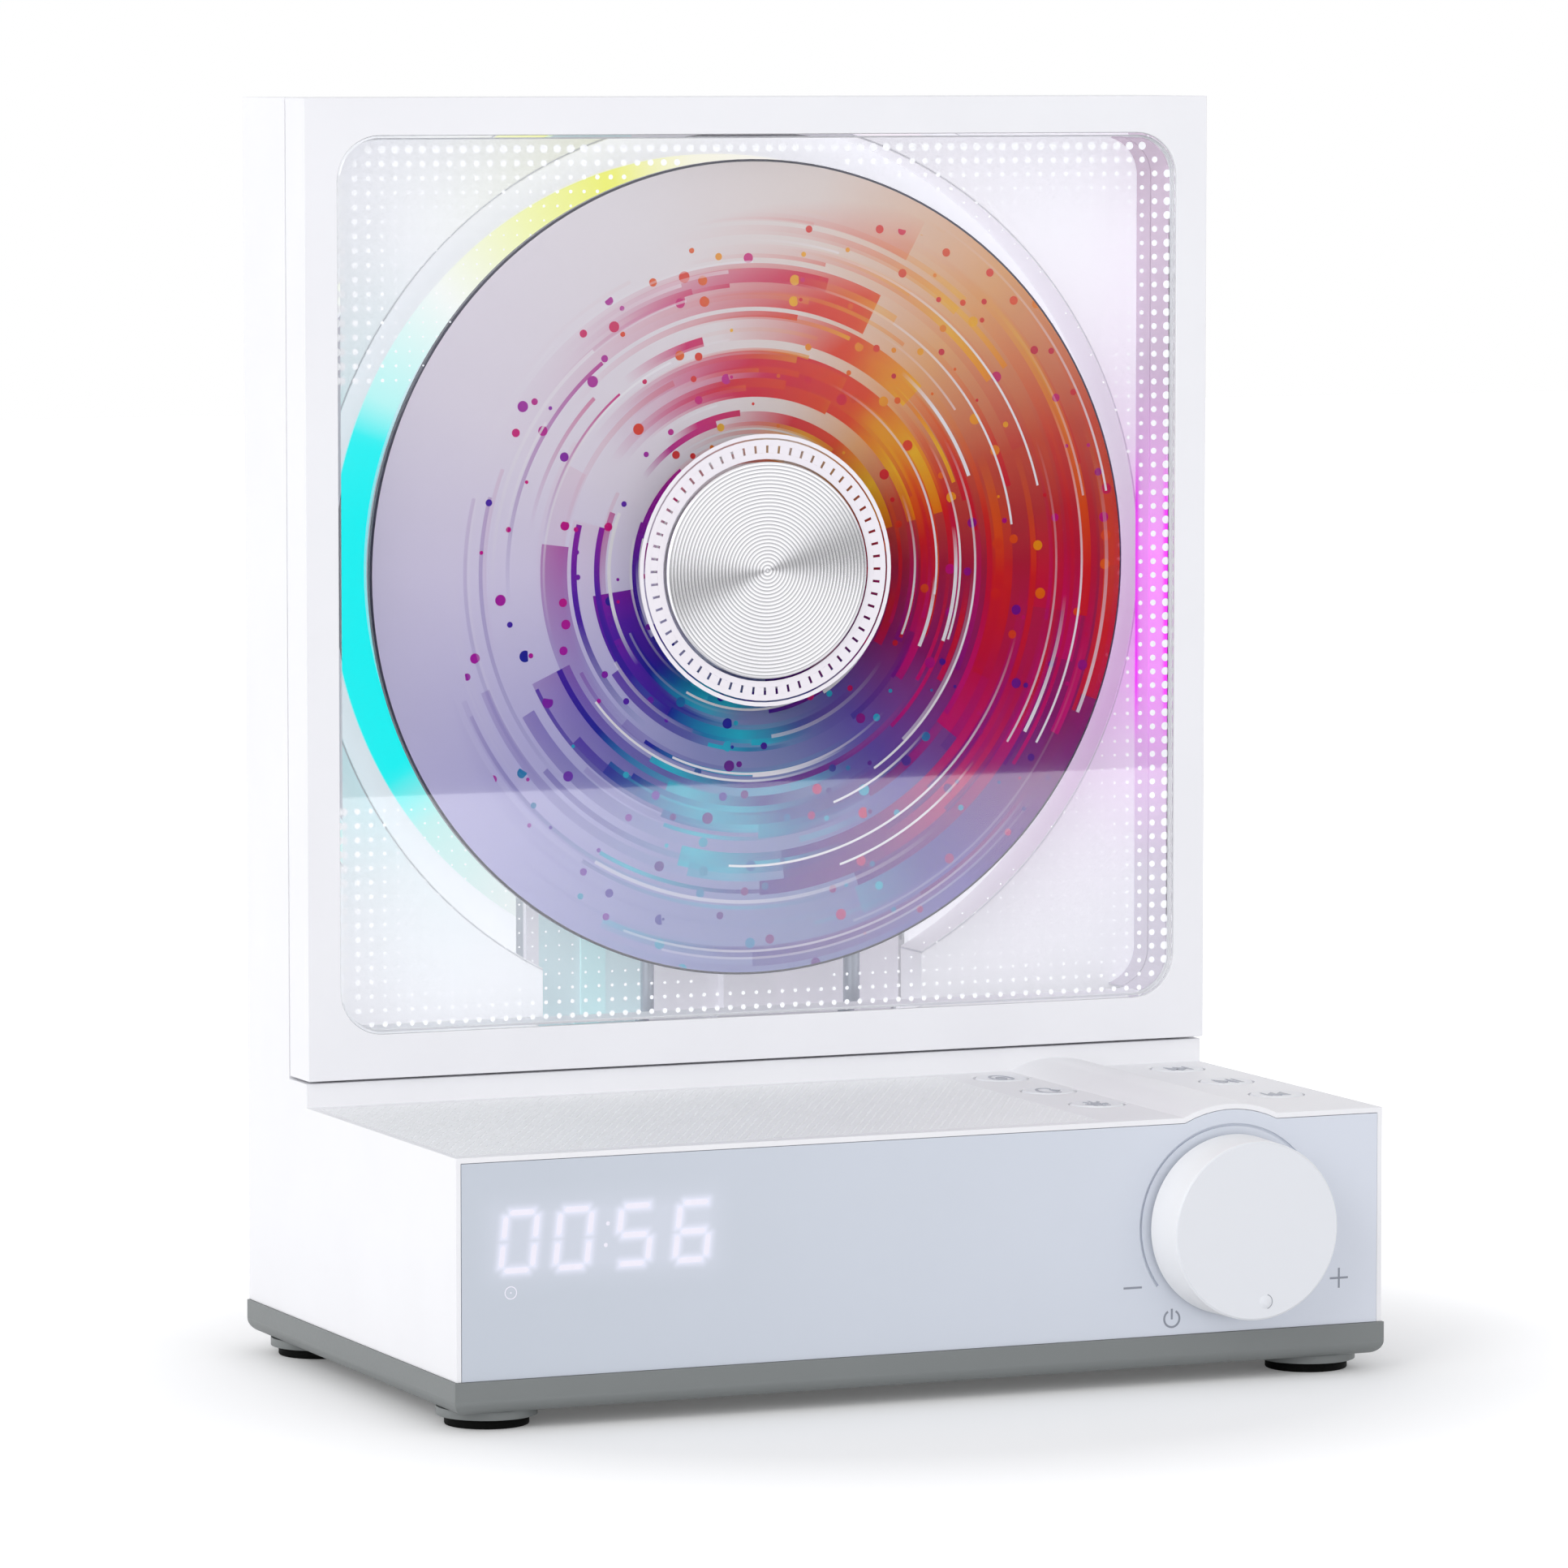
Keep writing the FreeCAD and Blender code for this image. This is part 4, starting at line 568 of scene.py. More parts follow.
far = off_box(tree, parts[0], parts[2], halo_x - HALO_HALF_WIDTH, halo_z - HALO_HALF_HEIGHT,
              halo_x + HALO_HALF_WIDTH, halo_z + HALO_HALF_HEIGHT)
# Painted light: a lilac glow is painted on the panel round the lit bars and over the display.
painted_glow = worked(tree, "ADD", fading(tree, nearest, BAR_REACH, BAR_PAINTED_GLOW),
               fading(tree, far, HALO_REACH, HALO_PAINTED_GLOW))
fill(tree, surface, {"Base Color": paint_and_light, "Emission Color": shade(*HALO_LILAC), "Emission Strength": painted_glow})
dress(panel_frost, "front_panel")
dress(holder_black, "display_module")

digit_light, tree, surface, place = new_finish("digit_light")
flicker = mottled(tree, speckle(tree, place, FLICKER_SIZE), DIGIT_WHITE, FLICKER_LOSS)
fill(tree, surface, {"Base Color": shade(*DIGIT_UNLIT), "Emission Color": flicker,
                     "Emission Strength": DIGIT_GLOW})
panel_face = Vector((0, panel_low.y, 0))
lit_marks = [stroke(*box) for box in lamp_bars]
for share in COLON_SHARES:
    height = DIGIT_HEIGHT * share
    lit_marks.append(spot(COLON_RADIUS, COLON_X + DIGIT_SLANT * height, DIGIT_LOW + height))
disc_sign = circle(DISC_SIGN_RADIUS, DISC_SIGN_LINE) + [spot(DISC_SIGN_LINE)]
lit_marks += moved(disc_sign, DISC_SIGN_AT)
printed("display_digits", lit_marks, panel_face, ACROSS, UPWARD, digit_light, "case", "milky_light")

panel_ink = moulded("panel_ink", PANEL_INK, dull=(0.45, 0.55), cloud=0.05)
half = PANEL_LINE / 2
minus = [bar(-SIGN_REACH, -half, SIGN_REACH, half)]
plus = minus + [bar(-half, half, half, SIGN_REACH), bar(-half, -SIGN_REACH, half, -half)]
power = [band(POWER_REACH, PANEL_LINE, *POWER_SWEEP), bar(-half, POWER_BAR[0], half, POWER_BAR[1])]
panel_signs = moved(minus, MINUS_AT) + moved(plus, PLUS_AT) + moved(power, POWER_AT)
printed("panel_signs", panel_signs, panel_face, ACROSS, UPWARD, panel_ink, "case")

# Volume knob
# The knob is a glossy white moulded cap with a small domed pip near its lower rim, by which a finger
# turns it. Its face is painted a little greyer than its side as shade, and a grey crescent printed by the
# pip is its painted shade. It presses onto the shaft of a turning switch nutted to the panel.
KNOB_WHITE = (253, 253, 254)
KNOB_FACE_SHADE = (229, 231, 236)
FACE_DEPTH = 0.3
PIP_SHADE_GREY = (150, 153, 162)
MARK_RADIUS = 1.0
MARK_LINE = 0.16
MARK_SWEEP = 75
PIP_SIDE = 1.4
PIP_REACH = 10.2
PIP_HEIGHT = 0.35
knob_low, knob_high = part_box("volume_knob")
knob_face = knob_low.y + PIP_HEIGHT * MM
knob_white = moulded("knob_white", KNOB_WHITE, dull=(0.34, 0.44))
tree, surface, place = opened(knob_white)
# Painted shade: the knob's face is coloured greyer than its lit white side.
depth = parted(tree, place)[1]
side = spread(tree, depth, 0.0, 1.0, knob_face + FACE_DEPTH * MM / 2, knob_face + FACE_DEPTH * MM)
white = surface.inputs["Base Color"].links[0].from_socket
fill(tree, surface, {"Base Color": between(tree, side, shade(*KNOB_FACE_SHADE), white)})
dress(knob_white, "volume_knob")
# Painted shade: a grey crescent printed on the right of the pip stands for the pip's shade.
pip_shade_ink = moulded("pip_shade_ink", PIP_SHADE_GREY, dull=(0.45, 0.55), cloud=0.05)
knob_x, knob_z = (knob_low.x + knob_high.x) / 2, (knob_low.z + knob_high.z) / 2
pip = Vector((knob_x + PIP_SIDE * MM, knob_face, knob_z - PIP_REACH * MM))
pip_shade_arc = [band(MARK_RADIUS, MARK_LINE, -MARK_SWEEP, MARK_SWEEP)]
printed("knob_pip_shade", pip_shade_arc, pip, ACROSS, UPWARD, pip_shade_ink, "knob", "knob_white")

# Lamp ring
# A milky moulded ring lies behind the disc well, over a white board of coloured lamps. It glows yellow at
# the top, cyan on the left and magenta on the right. Its outer part is printed white, as the well's floor,
# and a glow is painted on it as light.
LAMP_COLOURS = (
    (0.00, (252, 150, 250)),
    (0.03, (250, 208, 248)),
    (0.12, (250, 236, 249)),
    (0.20, (250, 244, 248)),
    (0.26, (250, 247, 225)),
    (0.295, (240, 242, 100)),
    (0.335, (246, 250, 180)),
    (0.38, (252, 255, 252)),
    (0.43, (190, 255, 252)),
    (0.446, (20, 250, 250)),
    (0.585, (20, 250, 250)),
    (0.61, (190, 235, 232)),
    (0.66, (225, 232, 232)),
    (0.84, (235, 228, 236)),
    (0.90, (240, 188, 240)),
    (0.94, (255, 70, 250)),
    (0.965, (255, 90, 250)),
    (1.00, (252, 150, 250)),
)
LAMP_LEVEL = 1.0
MILKY_UNLIT = (30, 31, 32)
WELL_WHITE = (240, 240, 243)
WELL_PAINTED_GLOW = 0.48
LIT_RADIUS = 60.8
LIT_FADE = 0.3
LAMP_BOARD = (232, 234, 236)
LAMP_TRACES = (214, 217, 220)
disc_low, disc_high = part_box("disc")
SPINDLE = Vector((0, disc_low.y, (disc_low.z + disc_high.z) / 2))


def about_spindle(tree, place):
    """A place's distance from the spindle's axis in metres, and its share of a turn round it."""
    parts = parted(tree, place)
    height = worked(tree, "SUBTRACT", parts[2], SPINDLE.z)
    turn = worked(tree, "DIVIDE", worked(tree, "ARCTAN2", height, parts[0]), 2 * math.pi)
    return apart(tree, parts[0], height), worked(tree, "FRACT", turn)


def graded(tree, value, stops):
    """A colour read off a list of stops by a number from 0 to 1."""
    node = wire(tree, "ValToRGB", {0: value})
    elements = node.color_ramp.elements
    while len(elements) < len(stops):
        elements.new(0.5)
    for element, (position, colour) in zip(elements, stops):
        element.position = position
        element.color = shade(*colour)
    return node.outputs[0]


milky_light, tree, surface, place = new_finish("milky_light")
radius, turn = about_spindle(tree, place)
# Painted light: the white outer part of the ring glows too.
lit = spread(tree, radius, 1.0, 0.0, (LIT_RADIUS - LIT_FADE) * MM, LIT_RADIUS * MM)
glow = between(tree, lit, shade(*WELL_WHITE), graded(tree, turn, LAMP_COLOURS))
unlit = between(tree, lit, shade(*WELL_WHITE), shade(*MILKY_UNLIT))
fill(tree, surface, {"Base Color": unlit, "Emission Color": glow,
                     "Emission Strength": spread(tree, lit, WELL_PAINTED_GLOW, LAMP_LEVEL)})
dress(milky_light, "light_guide")
dress(board("board_white", LAMP_BOARD, LAMP_TRACES), "led_board")

# Drive
# A pressed plate, painted white, hangs on four rubber bushes and carries the motor, turntable and pickup.
# The pickup is drawn along a steel rod by a screw. The lamps' light is painted on the plate, rod and ribbon
# as a glow, and on the plate under the ribbon as a mint colour.
PLATE_WHITE = (228, 225, 232)
PLATE_MINT_LIGHT = (203, 222, 226)
PLATE_GRAIN = 0.6
PLATE_LOSS = 0.04
PLATE_DULL = (0.36, 0.48)
PLATE_PAINTED_LIGHT = 0.3
MINT_LEFT = -28.0
MINT_RIGHT = -11.4
MINT_EDGE = 0.2
MOTOR_GREY = (166, 170, 182)
ROD_GREY = (172, 178, 190)
ROD_PAINTED_LIGHT = 0.05
RIBBON_MINT = (198, 232, 234)
RIBBON_PAINTED_LIGHT = 0.3
TABLE_BLACK = (38, 39, 42)
LENS_BLUE = (150, 170, 215)
LENS_CLOUD = 2.0
LENS_LOSS = 0.2
LENS_CLEAR = 0.6
LENS_DULL = 0.05
# Painted light: the plate glows, and its strip under the ribbon is coloured mint as the lamps' light.
plate_paint, tree, surface, place = new_finish("plate_paint")
off_mint = outside(tree, parted(tree, place)[0], (MINT_LEFT + MINT_RIGHT) / 2, (MINT_RIGHT - MINT_LEFT) / 2)
painted_mint_light = spread(tree, off_mint, 1.0, 0.0, 0.0, MINT_EDGE * MM)
grain = speckle(tree, place, PLATE_GRAIN)
paint_and_light = between(tree, painted_mint_light, mottled(tree, grain, PLATE_WHITE, PLATE_LOSS), shade(*PLATE_MINT_LIGHT))
fill(tree, surface, {"Base Color": paint_and_light, "Roughness": spread(tree, grain, *PLATE_DULL),
                     "Emission Color": paint_and_light, "Emission Strength": PLATE_PAINTED_LIGHT})
motor_steel = metal("motor_steel", MOTOR_GREY, dull=(0.34, 0.48), grain=1.2)
# Painted light: the rod and the ribbon glow a little.
rod_steel = moulded("rod_steel", ROD_GREY, dull=(0.2, 0.3), Metallic=0.4, Emission_Strength=ROD_PAINTED_LIGHT,
                    Emission_Color=shade(*ROD_GREY))
ribbon_film = moulded("ribbon_film", RIBBON_MINT, dull=(0.25, 0.35), Emission_Strength=RIBBON_PAINTED_LIGHT,
                      Emission_Color=shade(*RIBBON_MINT))
table_black = moulded("table_black", TABLE_BLACK, cloud=0.15)
lens_glass, tree, surface, place = new_finish("lens_glass")
coating = mottled(tree, speckle(tree, place, LENS_CLOUD), LENS_BLUE, LENS_LOSS)
fill(tree, surface, {"Base Color": coating, "Transmission Weight": LENS_CLEAR, "Roughness": LENS_DULL})
dress(plate_paint, "mechanism_plate")
dress(motor_steel, "spindle_motor", "sled_motor")
dress(rod_steel, "guide_rod", "lead_screw")
dress(table_black, "turntable", "pickup_sled", "lens_holder")
dress(rubber, "turntable_mat")
dress(ribbon_film, "pickup_ribbon")
dress(lens_glass, "objective_lens")

# Deck
# The deck is a milky white moulded plate that closes the tower behind the door, with a round well for
# the disc. Light is painted on it as a glow, strongest at the upper left and weakest at the lower right,
# and the lamps' colours are painted round the well as their light. On a fine line at the well's rim the
# painted glow is left out, so the rim shows as a grey line.
DECK_WHITE = (240, 240, 243)
PAINTED_GLOW_FULL = 0.38
PAINTED_GLOW_LEAST = 0.2
PAINTED_GLOW_FADE = 60.0
PAINTED_TINT_INNER = 58.0
PAINTED_TINT_OUTER = 84.0
PAINTED_TINT_SHARE = 0.72
RIM_LINE = 66.2
RIM_LINE_HALF = 0.12
RIM_GREY = (196, 190, 200)

deck_white = moulded("deck_white", DECK_WHITE, dull=(0.35, 0.45))
tree, surface, place = opened(deck_white)
radius, turn = about_spindle(tree, place)
# Painted light: the lamps' colours near the well and a glow over the whole deck.
painted_tint = spread(tree, radius, PAINTED_TINT_SHARE, 0.0, PAINTED_TINT_INNER * MM, PAINTED_TINT_OUTER * MM)
glow = between(tree, painted_tint, shade(*DECK_WHITE), graded(tree, turn, LAMP_COLOURS))
line = worked(tree, "LESS_THAN", outside(tree, radius, RIM_LINE, 0.0), RIM_LINE_HALF * MM)
parts = parted(tree, place)
low_right = worked(tree, "SUBTRACT", parts[0], worked(tree, "SUBTRACT", parts[2], SPINDLE.z))
level = spread(tree, low_right, PAINTED_GLOW_FULL, PAINTED_GLOW_LEAST, 0.0, 2 * PAINTED_GLOW_FADE * MM)
level = worked(tree, "MULTIPLY", level, spread(tree, line, 1.0, 0.0))
fill(tree, surface, {"Emission Color": between(tree, line, glow, shade(*RIM_GREY)),
                     "Emission Strength": level})
dress(deck_white, "deck_plate")

# Jamb liners
# Two milky strips line the right side of the disc space, one on the door's jamb and one on the deck.
# They are stuck on, bend round the corners and hide the hinge. The ring's pink and magenta light is
# painted on them as colour and glow, brightest along one edge.
LINER_INNER = 65.75
LINER_THICK = 0.3
LINER_BEND = 5.75
LINER_SWEEP = math.radians(75)
LINER_STEPS = 10
LINER_GAP = 0.1
DOOR_GAP = 0.4
LINER_PAINTED_GLOW = (0.17, 0.62)
GLOW_MIDDLE = 106.0
GLOW_HALF = 10.0
GLOW_END = 26.0
LINER_LOW = 52.0
LINER_HIGH = 176.0
LINER_PAINTED_COLOURS = (
    (0.00, (196, 191, 202)),
    (0.12, (208, 201, 214)),
    (0.25, (214, 176, 219)),
    (0.34, (222, 146, 226)),
    (0.50, (232, 138, 235)),
    (0.60, (220, 166, 222)),
    (0.74, (210, 190, 211)),
    (1.00, (208, 188, 205)),
)
PAINTED_MAGENTA_LIGHT = (238, 56, 240)
LINE_REACH = 1.7
LINE_CORE = LINE_REACH / 3
LINE_LOW = 95.0
LINE_HIGH = 122.0
LINE_FADE = 9.0
window_low, window_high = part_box("door_window")


def liner(name, front, back, lit_edge, body):
    """A milky strip between depths that bends round the corners, with magenta light painted on one long edge.
    """
    finish, tree, surface, place = new_finish(name)
    parts = parted(tree, place)
    strip = graded(tree, spread(tree, parts[2], 0.0, 1.0, LINER_LOW * MM, LINER_HIGH * MM), LINER_PAINTED_COLOURS)
    away = outside(tree, parts[1], lit_edge, 0.0)
    near = spread(tree, away, 1.0, 0.0, LINE_CORE * MM, LINE_REACH * MM)
    tall = outside(tree, parts[2], (LINE_LOW + LINE_HIGH) / 2, (LINE_HIGH - LINE_LOW) / 2)
    line = worked(tree, "MULTIPLY", near, spread(tree, tall, 1.0, 0.0, 0.0, LINE_FADE * MM))
    glow = between(tree, line, strip, shade(*PAINTED_MAGENTA_LIGHT))
    middle = spread(tree, outside(tree, parts[2], GLOW_MIDDLE, GLOW_HALF), 1.0, 0.0, 0.0, GLOW_END * MM)
    fill(tree, surface, {"Base Color": glow, "Emission Color": glow,
                         "Emission Strength": spread(tree, middle, *LINER_PAINTED_GLOW)})
    low = window_low.z / MM + LINER_BEND + (window_high.x / MM - LINER_INNER)
    high = window_high.z / MM - LINER_BEND - (window_high.x / MM - LINER_INNER)
    turns = [LINER_SWEEP * step / LINER_STEPS for step in range(LINER_STEPS + 1)]
    bends = [(low, -turn) for turn in reversed(turns)] + [(high, turn) for turn in turns]
    section = ((LINER_BEND, back), (LINER_BEND + LINER_THICK, back),
               (LINER_BEND + LINER_THICK, front), (LINER_BEND, front))
    points = []
    for middle, turn in bends:
        for reach, along in section:
            across = LINER_INNER - LINER_BEND + reach * math.cos(turn)
            points.append((across * MM, along * MM, (middle + reach * math.sin(turn)) * MM))
    faces = lofted(0, len(section), len(bends))
    return new_piece(name, points, faces, finish, body, "milky_light")


door_front = window_high.y / MM + LINER_GAP
door_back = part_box("door_frame")[1].y / MM
liner("door_liner", door_front, door_back, door_front, "door")
deck_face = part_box("deck_plate")[0].y / MM
liner("deck_liner", door_back + DOOR_GAP, deck_face, deck_face, "case")

# Disc
# A polycarbonate disc with a silvered layer and a printed face: curved colour trails, fine white arcs
# and small round specks on lavender. Its clear edge and hub are painted dark as the shade they show,
# and it drops over the turntable's nose.
GROUND_COLOURS = (
    (0.00, (176, 26, 62)),
    (0.06, (208, 74, 50)),
    (0.13, (236, 172, 116)),
    (0.22, (238, 224, 218)),
    (0.30, (240, 232, 236)),
    (0.42, (242, 233, 246)),
    (0.50, (234, 225, 250)),
    (0.60, (196, 190, 234)),
    (0.70, (150, 154, 206)),
    (0.78, (126, 135, 188)),
    (0.85, (104, 84, 176)),
    (0.93, (146, 20, 108)),
    (1.00, (176, 26, 62)),
)
TRAIL_COLOURS = (
    (0.00, (206, 8, 58)),
    (0.05, (220, 28, 34)),
    (0.10, (238, 102, 10)),
    (0.16, (246, 184, 24)),
    (0.22, (234, 66, 18)),
    (0.29, (222, 12, 58)),
    (0.38, (214, 8, 128)),
    (0.48, (172, 28, 168)),
    (0.57, (94, 36, 178)),
    (0.66, (24, 32, 158)),
    (0.74, (34, 190, 216)),
    (0.80, (52, 18, 148)),
    (0.88, (120, 4, 138)),
    (0.94, (206, 0, 118)),
    (1.00, (206, 8, 58)),
)
# Each set of trails has the width of its rings in mm, a seed, and its longest share of a turn.
TRAIL_SETS = ((6.4, 11.0, 0.42), (4.2, 29.0, 0.36), (3.0, 47.0, 0.34), (2.1, 5.0, 0.3), (1.4, 83.0, 0.26),
              (0.9, 61.0, 0.24), (0.6, 17.0, 0.2))
GLINT_SETS = ((0.55, 7.0, 0.2), (0.35, 37.0, 0.26))
GLINT_CHOICE = 0.72
GLINT_WHITE = (250, 246, 250)
TRAIL_HEART = (11.0, -6.0)
TRAIL_NEAR = 30.0
TRAIL_FAR = 60.0
TRAIL_BOLDNESS = 3.0
TRAIL_SHORTEST = 0.05
HUE_DRIFT = 0.08
SPECK_PITCH = 3.6
SPECK_SIZES = (0.06, 0.24)
SPECK_CHOICE = 0.62
SPECK_DRIFT = 0.14
SPECK_LEAST = 0.1
HUB_RADIUS = 7.5
PRINT_INNER = 11.0
PRINT_OUTER = 59.65
RIM_BEVEL = 0.15
CLEAR_PAINTED_DARK = (70, 68, 86)
SILVER = (206, 208, 214)
DISC_DULL = 0.08
LACQUER_INDEX = 1.55
LATHE_SIDES = 160


def trails(tree, radius, turn, width, seed, longest, choice=0.0):
    """Colour trails round the spindle: how strongly each ring is inked, and where along the colours it is."""
    ring = worked(tree, "FLOOR", worked(tree, "DIVIDE", radius, width * MM))
    label = worked(tree, "ADD", ring, seed)
    chance = wire(tree, "TexWhiteNoise", {"W": label}, noise_dimensions="1D").outputs
    parts = wire(tree, "SeparateColor", {0: chance["Color"]}).outputs
    along = worked(tree, "FRACT", worked(tree, "ADD", turn, parts[0]))
    length = spread(tree, parts[1], TRAIL_SHORTEST, longest)
    fade = spread(tree, along, 1.0, 0.0, 0.0, length)
    bold = spread(tree, parts[2], 0.0, TRAIL_BOLDNESS, choice, 1.0)
    hue = worked(tree, "ADD", turn, spread(tree, parts[2], 1.0 - HUE_DRIFT, 1.0 + HUE_DRIFT))
    return worked(tree, "MULTIPLY", fade, bold), worked(tree, "FRACT", hue)


def inked(tree, strength, dense):
    """A share of ink between 0 and 1, thinned out where the print is less dense."""
    return wire(tree, "Math", {0: strength, 1: dense}, operation="MULTIPLY", use_clamp=True).outputs[0]


disc_print, tree, surface, place = new_finish("disc_print")
parts = parted(tree, place)
height = worked(tree, "SUBTRACT", parts[2], SPINDLE.z)
radius, turn = about_spindle(tree, place)
off = apart(tree, worked(tree, "SUBTRACT", parts[0], TRAIL_HEART[0] * MM),
            worked(tree, "SUBTRACT", height, TRAIL_HEART[1] * MM))
dense = spread(tree, off, 1.0, 0.0, TRAIL_NEAR * MM, TRAIL_FAR * MM)
ink = graded(tree, turn, GROUND_COLOURS)
for width, seed, longest in TRAIL_SETS:
    strength, hue = trails(tree, radius, turn, width, seed, longest)
    ink = between(tree, inked(tree, strength, dense), ink, graded(tree, hue, TRAIL_COLOURS))
flat = wire(tree, "CombineXYZ", {0: parts[0], 1: height}).outputs[0]
spots = wire(tree, "TexVoronoi", {"Vector": flat, "Scale": 1 / (SPECK_PITCH * MM)},
             voronoi_dimensions="2D").outputs
chances = wire(tree, "SeparateColor", {0: spots["Color"]}).outputs
inside = worked(tree, "LESS_THAN", spots["Distance"], spread(tree, chances[0], *SPECK_SIZES))
chosen = worked(tree, "MULTIPLY", inside, worked(tree, "GREATER_THAN", chances[1], SPECK_CHOICE))
drift = spread(tree, chances[2], 1.0 - SPECK_DRIFT, 1.0 + SPECK_DRIFT)
hue = worked(tree, "FRACT", worked(tree, "ADD", turn, drift))
shown = inked(tree, chosen, worked(tree, "GREATER_THAN", dense, SPECK_LEAST))
ink = between(tree, shown, ink, graded(tree, hue, TRAIL_COLOURS))
for width, seed, longest in GLINT_SETS:
    strength, hue = trails(tree, radius, turn, width, seed, longest, GLINT_CHOICE)
    ink = between(tree, inked(tree, strength, dense), ink, shade(*GLINT_WHITE))
fill(tree, surface, {"Base Color": ink, "Roughness": DISC_DULL, "Coat Weight": 1.0,
                     "Coat IOR": LACQUER_INDEX})

# Painted shade: the clear edge and hub are coloured dark.
disc_clear_shade = moulded("disc_clear_shade", CLEAR_PAINTED_DARK, dull=(0.08, 0.15), cloud=0.1)
disc_silver = metal("disc_silver", SILVER, dull=(0.06, 0.12))
rim = (disc_high.x - disc_low.x) / 2 / MM
face, back = disc_low.y / MM, disc_high.y / MM


def turned(name, profile, finishes, body, slot):
    """A closed turned piece: a loop of (radius, place along Y, finish number) in mm round the spindle."""
    points = []
    faces = []
    numbers = []
    count = len(profile)
    for side in range(LATHE_SIDES):
        turn = 2 * math.pi * side / LATHE_SIDES
        for radius, along, _ in profile:
            reach = radius * MM
            points.append((reach * math.cos(turn), along * MM, SPINDLE.z + reach * math.sin(turn)))
    for side in range(LATHE_SIDES):
        after = (side + 1) % LATHE_SIDES
        for i in range(count):
            j = (i + 1) % count
            faces.append((side * count + i, side * count + j, after * count + j, after * count + i))
            numbers.append(profile[i][2])
    piece = new_piece(name, points, faces, finishes[0], body, slot)
    for finish in finishes[1:]:
        piece.data.materials.append(finish)
    piece.data.polygons.foreach_set("material_index", numbers)
    return piece


disc = turned("disc_with_print", [
    (PRINT_OUTER, face, 1), (rim - RIM_BEVEL, face, 1),
    (rim, face + RIM_BEVEL, 1), (rim, back - RIM_BEVEL, 1),
    (rim - RIM_BEVEL, back, 2), (HUB_RADIUS, back, 1), (HUB_RADIUS, face, 1), (PRINT_INNER, face, 0),
], (disc_print, disc_clear_shade, disc_silver), "spindle", "disc_print")
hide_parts("disc")

# Door
# The door is a white moulded frame hung on two pins at its right side and held shut by magnets at
# its left. A clear acrylic window is let in flush with its front.
DOOR_WHITE = (243, 243, 247)
DOOR_EDGE = 0.15
door_white = moulded("white_door", DOOR_WHITE, dull=(0.36, 0.48))
dress(door_white, "door_frame", "clamp_retainer", "clamp_spool")
ease(DOOR_EDGE, "door_frame")

# Window
# The window is a clear acrylic sheet with a chamfered front edge, bedded on the frame's lip. White dots
# are printed behind it along its edges, and a white ring with clear ticks is printed round the cap.
CLEAR_TINT = (252, 253, 255)
PANE_INDEX = 1.6
HAZE_SIZE = 30.0
HAZE = (0.0, 0.02)
PANE_ROUND = 6.45
PANE_STEPS = 12
PANE_CHAMFER = 0.3
PANE_SHORT = 0.02
half_wide = (window_high.x - window_low.x) / 2 / MM
half_tall = (window_high.z - window_low.z) / 2 / MM
window_middle = (window_high.z + window_low.z) / 2 / MM
clear_pane, tree, surface, place = new_finish("clear_pane")
fill(tree, surface, {"Base Color": shade(*CLEAR_TINT), "Transmission Weight": 1.0, "IOR": PANE_INDEX,
                     "Roughness": spread(tree, speckle(tree, place, HAZE_SIZE), *HAZE)})
rays = wire(tree, "LightPath").outputs
passing = wire(tree, "BsdfTransparent").outputs[0]
pane_mix = wire(tree, "MixShader", {0: rays["Is Shadow Ray"], 1: surface.outputs[0], 2: passing})
fill(tree, tree.nodes["Material Output"], {"Surface": pane_mix.outputs[0]})


def rounded(inset):
    """The window's outline, drawn in by an inset in mm, as points across and up."""
    round_by = PANE_ROUND - inset
    outline = []
    for corner, (side_x, side_z) in enumerate(((1, 1), (-1, 1), (-1, -1), (1, -1))):
        middle_x = side_x * (half_wide - PANE_ROUND)
        middle_z = window_middle + side_z * (half_tall - PANE_ROUND)
        for step in range(PANE_STEPS + 1):
            turn = math.pi / 2 * (corner + step / PANE_STEPS)
            outline.append((middle_x + round_by * math.cos(turn), middle_z + round_by * math.sin(turn)))
    return outline


pane_levels = ((PANE_CHAMFER, window_low.y), (0.0, window_low.y + PANE_CHAMFER * MM),
               (0.0, window_high.y - PANE_SHORT * MM))
pane_points = [(across * MM, level, along * MM)
               for inset, level in pane_levels for across, along in rounded(inset)]
pane_faces = lofted(0, len(rounded(0.0)), len(pane_levels))
pane = new_piece("clear_window", pane_points, pane_faces, clear_pane, "door", "clear_pane")
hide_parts("door_window")

PRINT_WHITE = (250, 250, 252)
DOT_PAINTED_LIGHT = 0.3
DOT_PITCH = 2.08
DOT_LARGEST = 0.6
DOT_SHRINK = 0.76
DOT_SMALLEST = 0.14
DOT_LOW_SHARE = 0.65
DOT_ROWS = 10
DOT_BOTTOM = 50.06
DOT_TOP = 176.05
DOT_MARGIN = 0.75
DOT_SETBACK = 0.03
DOT_CLEAR = 61.0
DOT_SIDES = 12
CORNER_STEPS = 2
CYAN_LOW = 82.0
CYAN_HIGH = 142.0
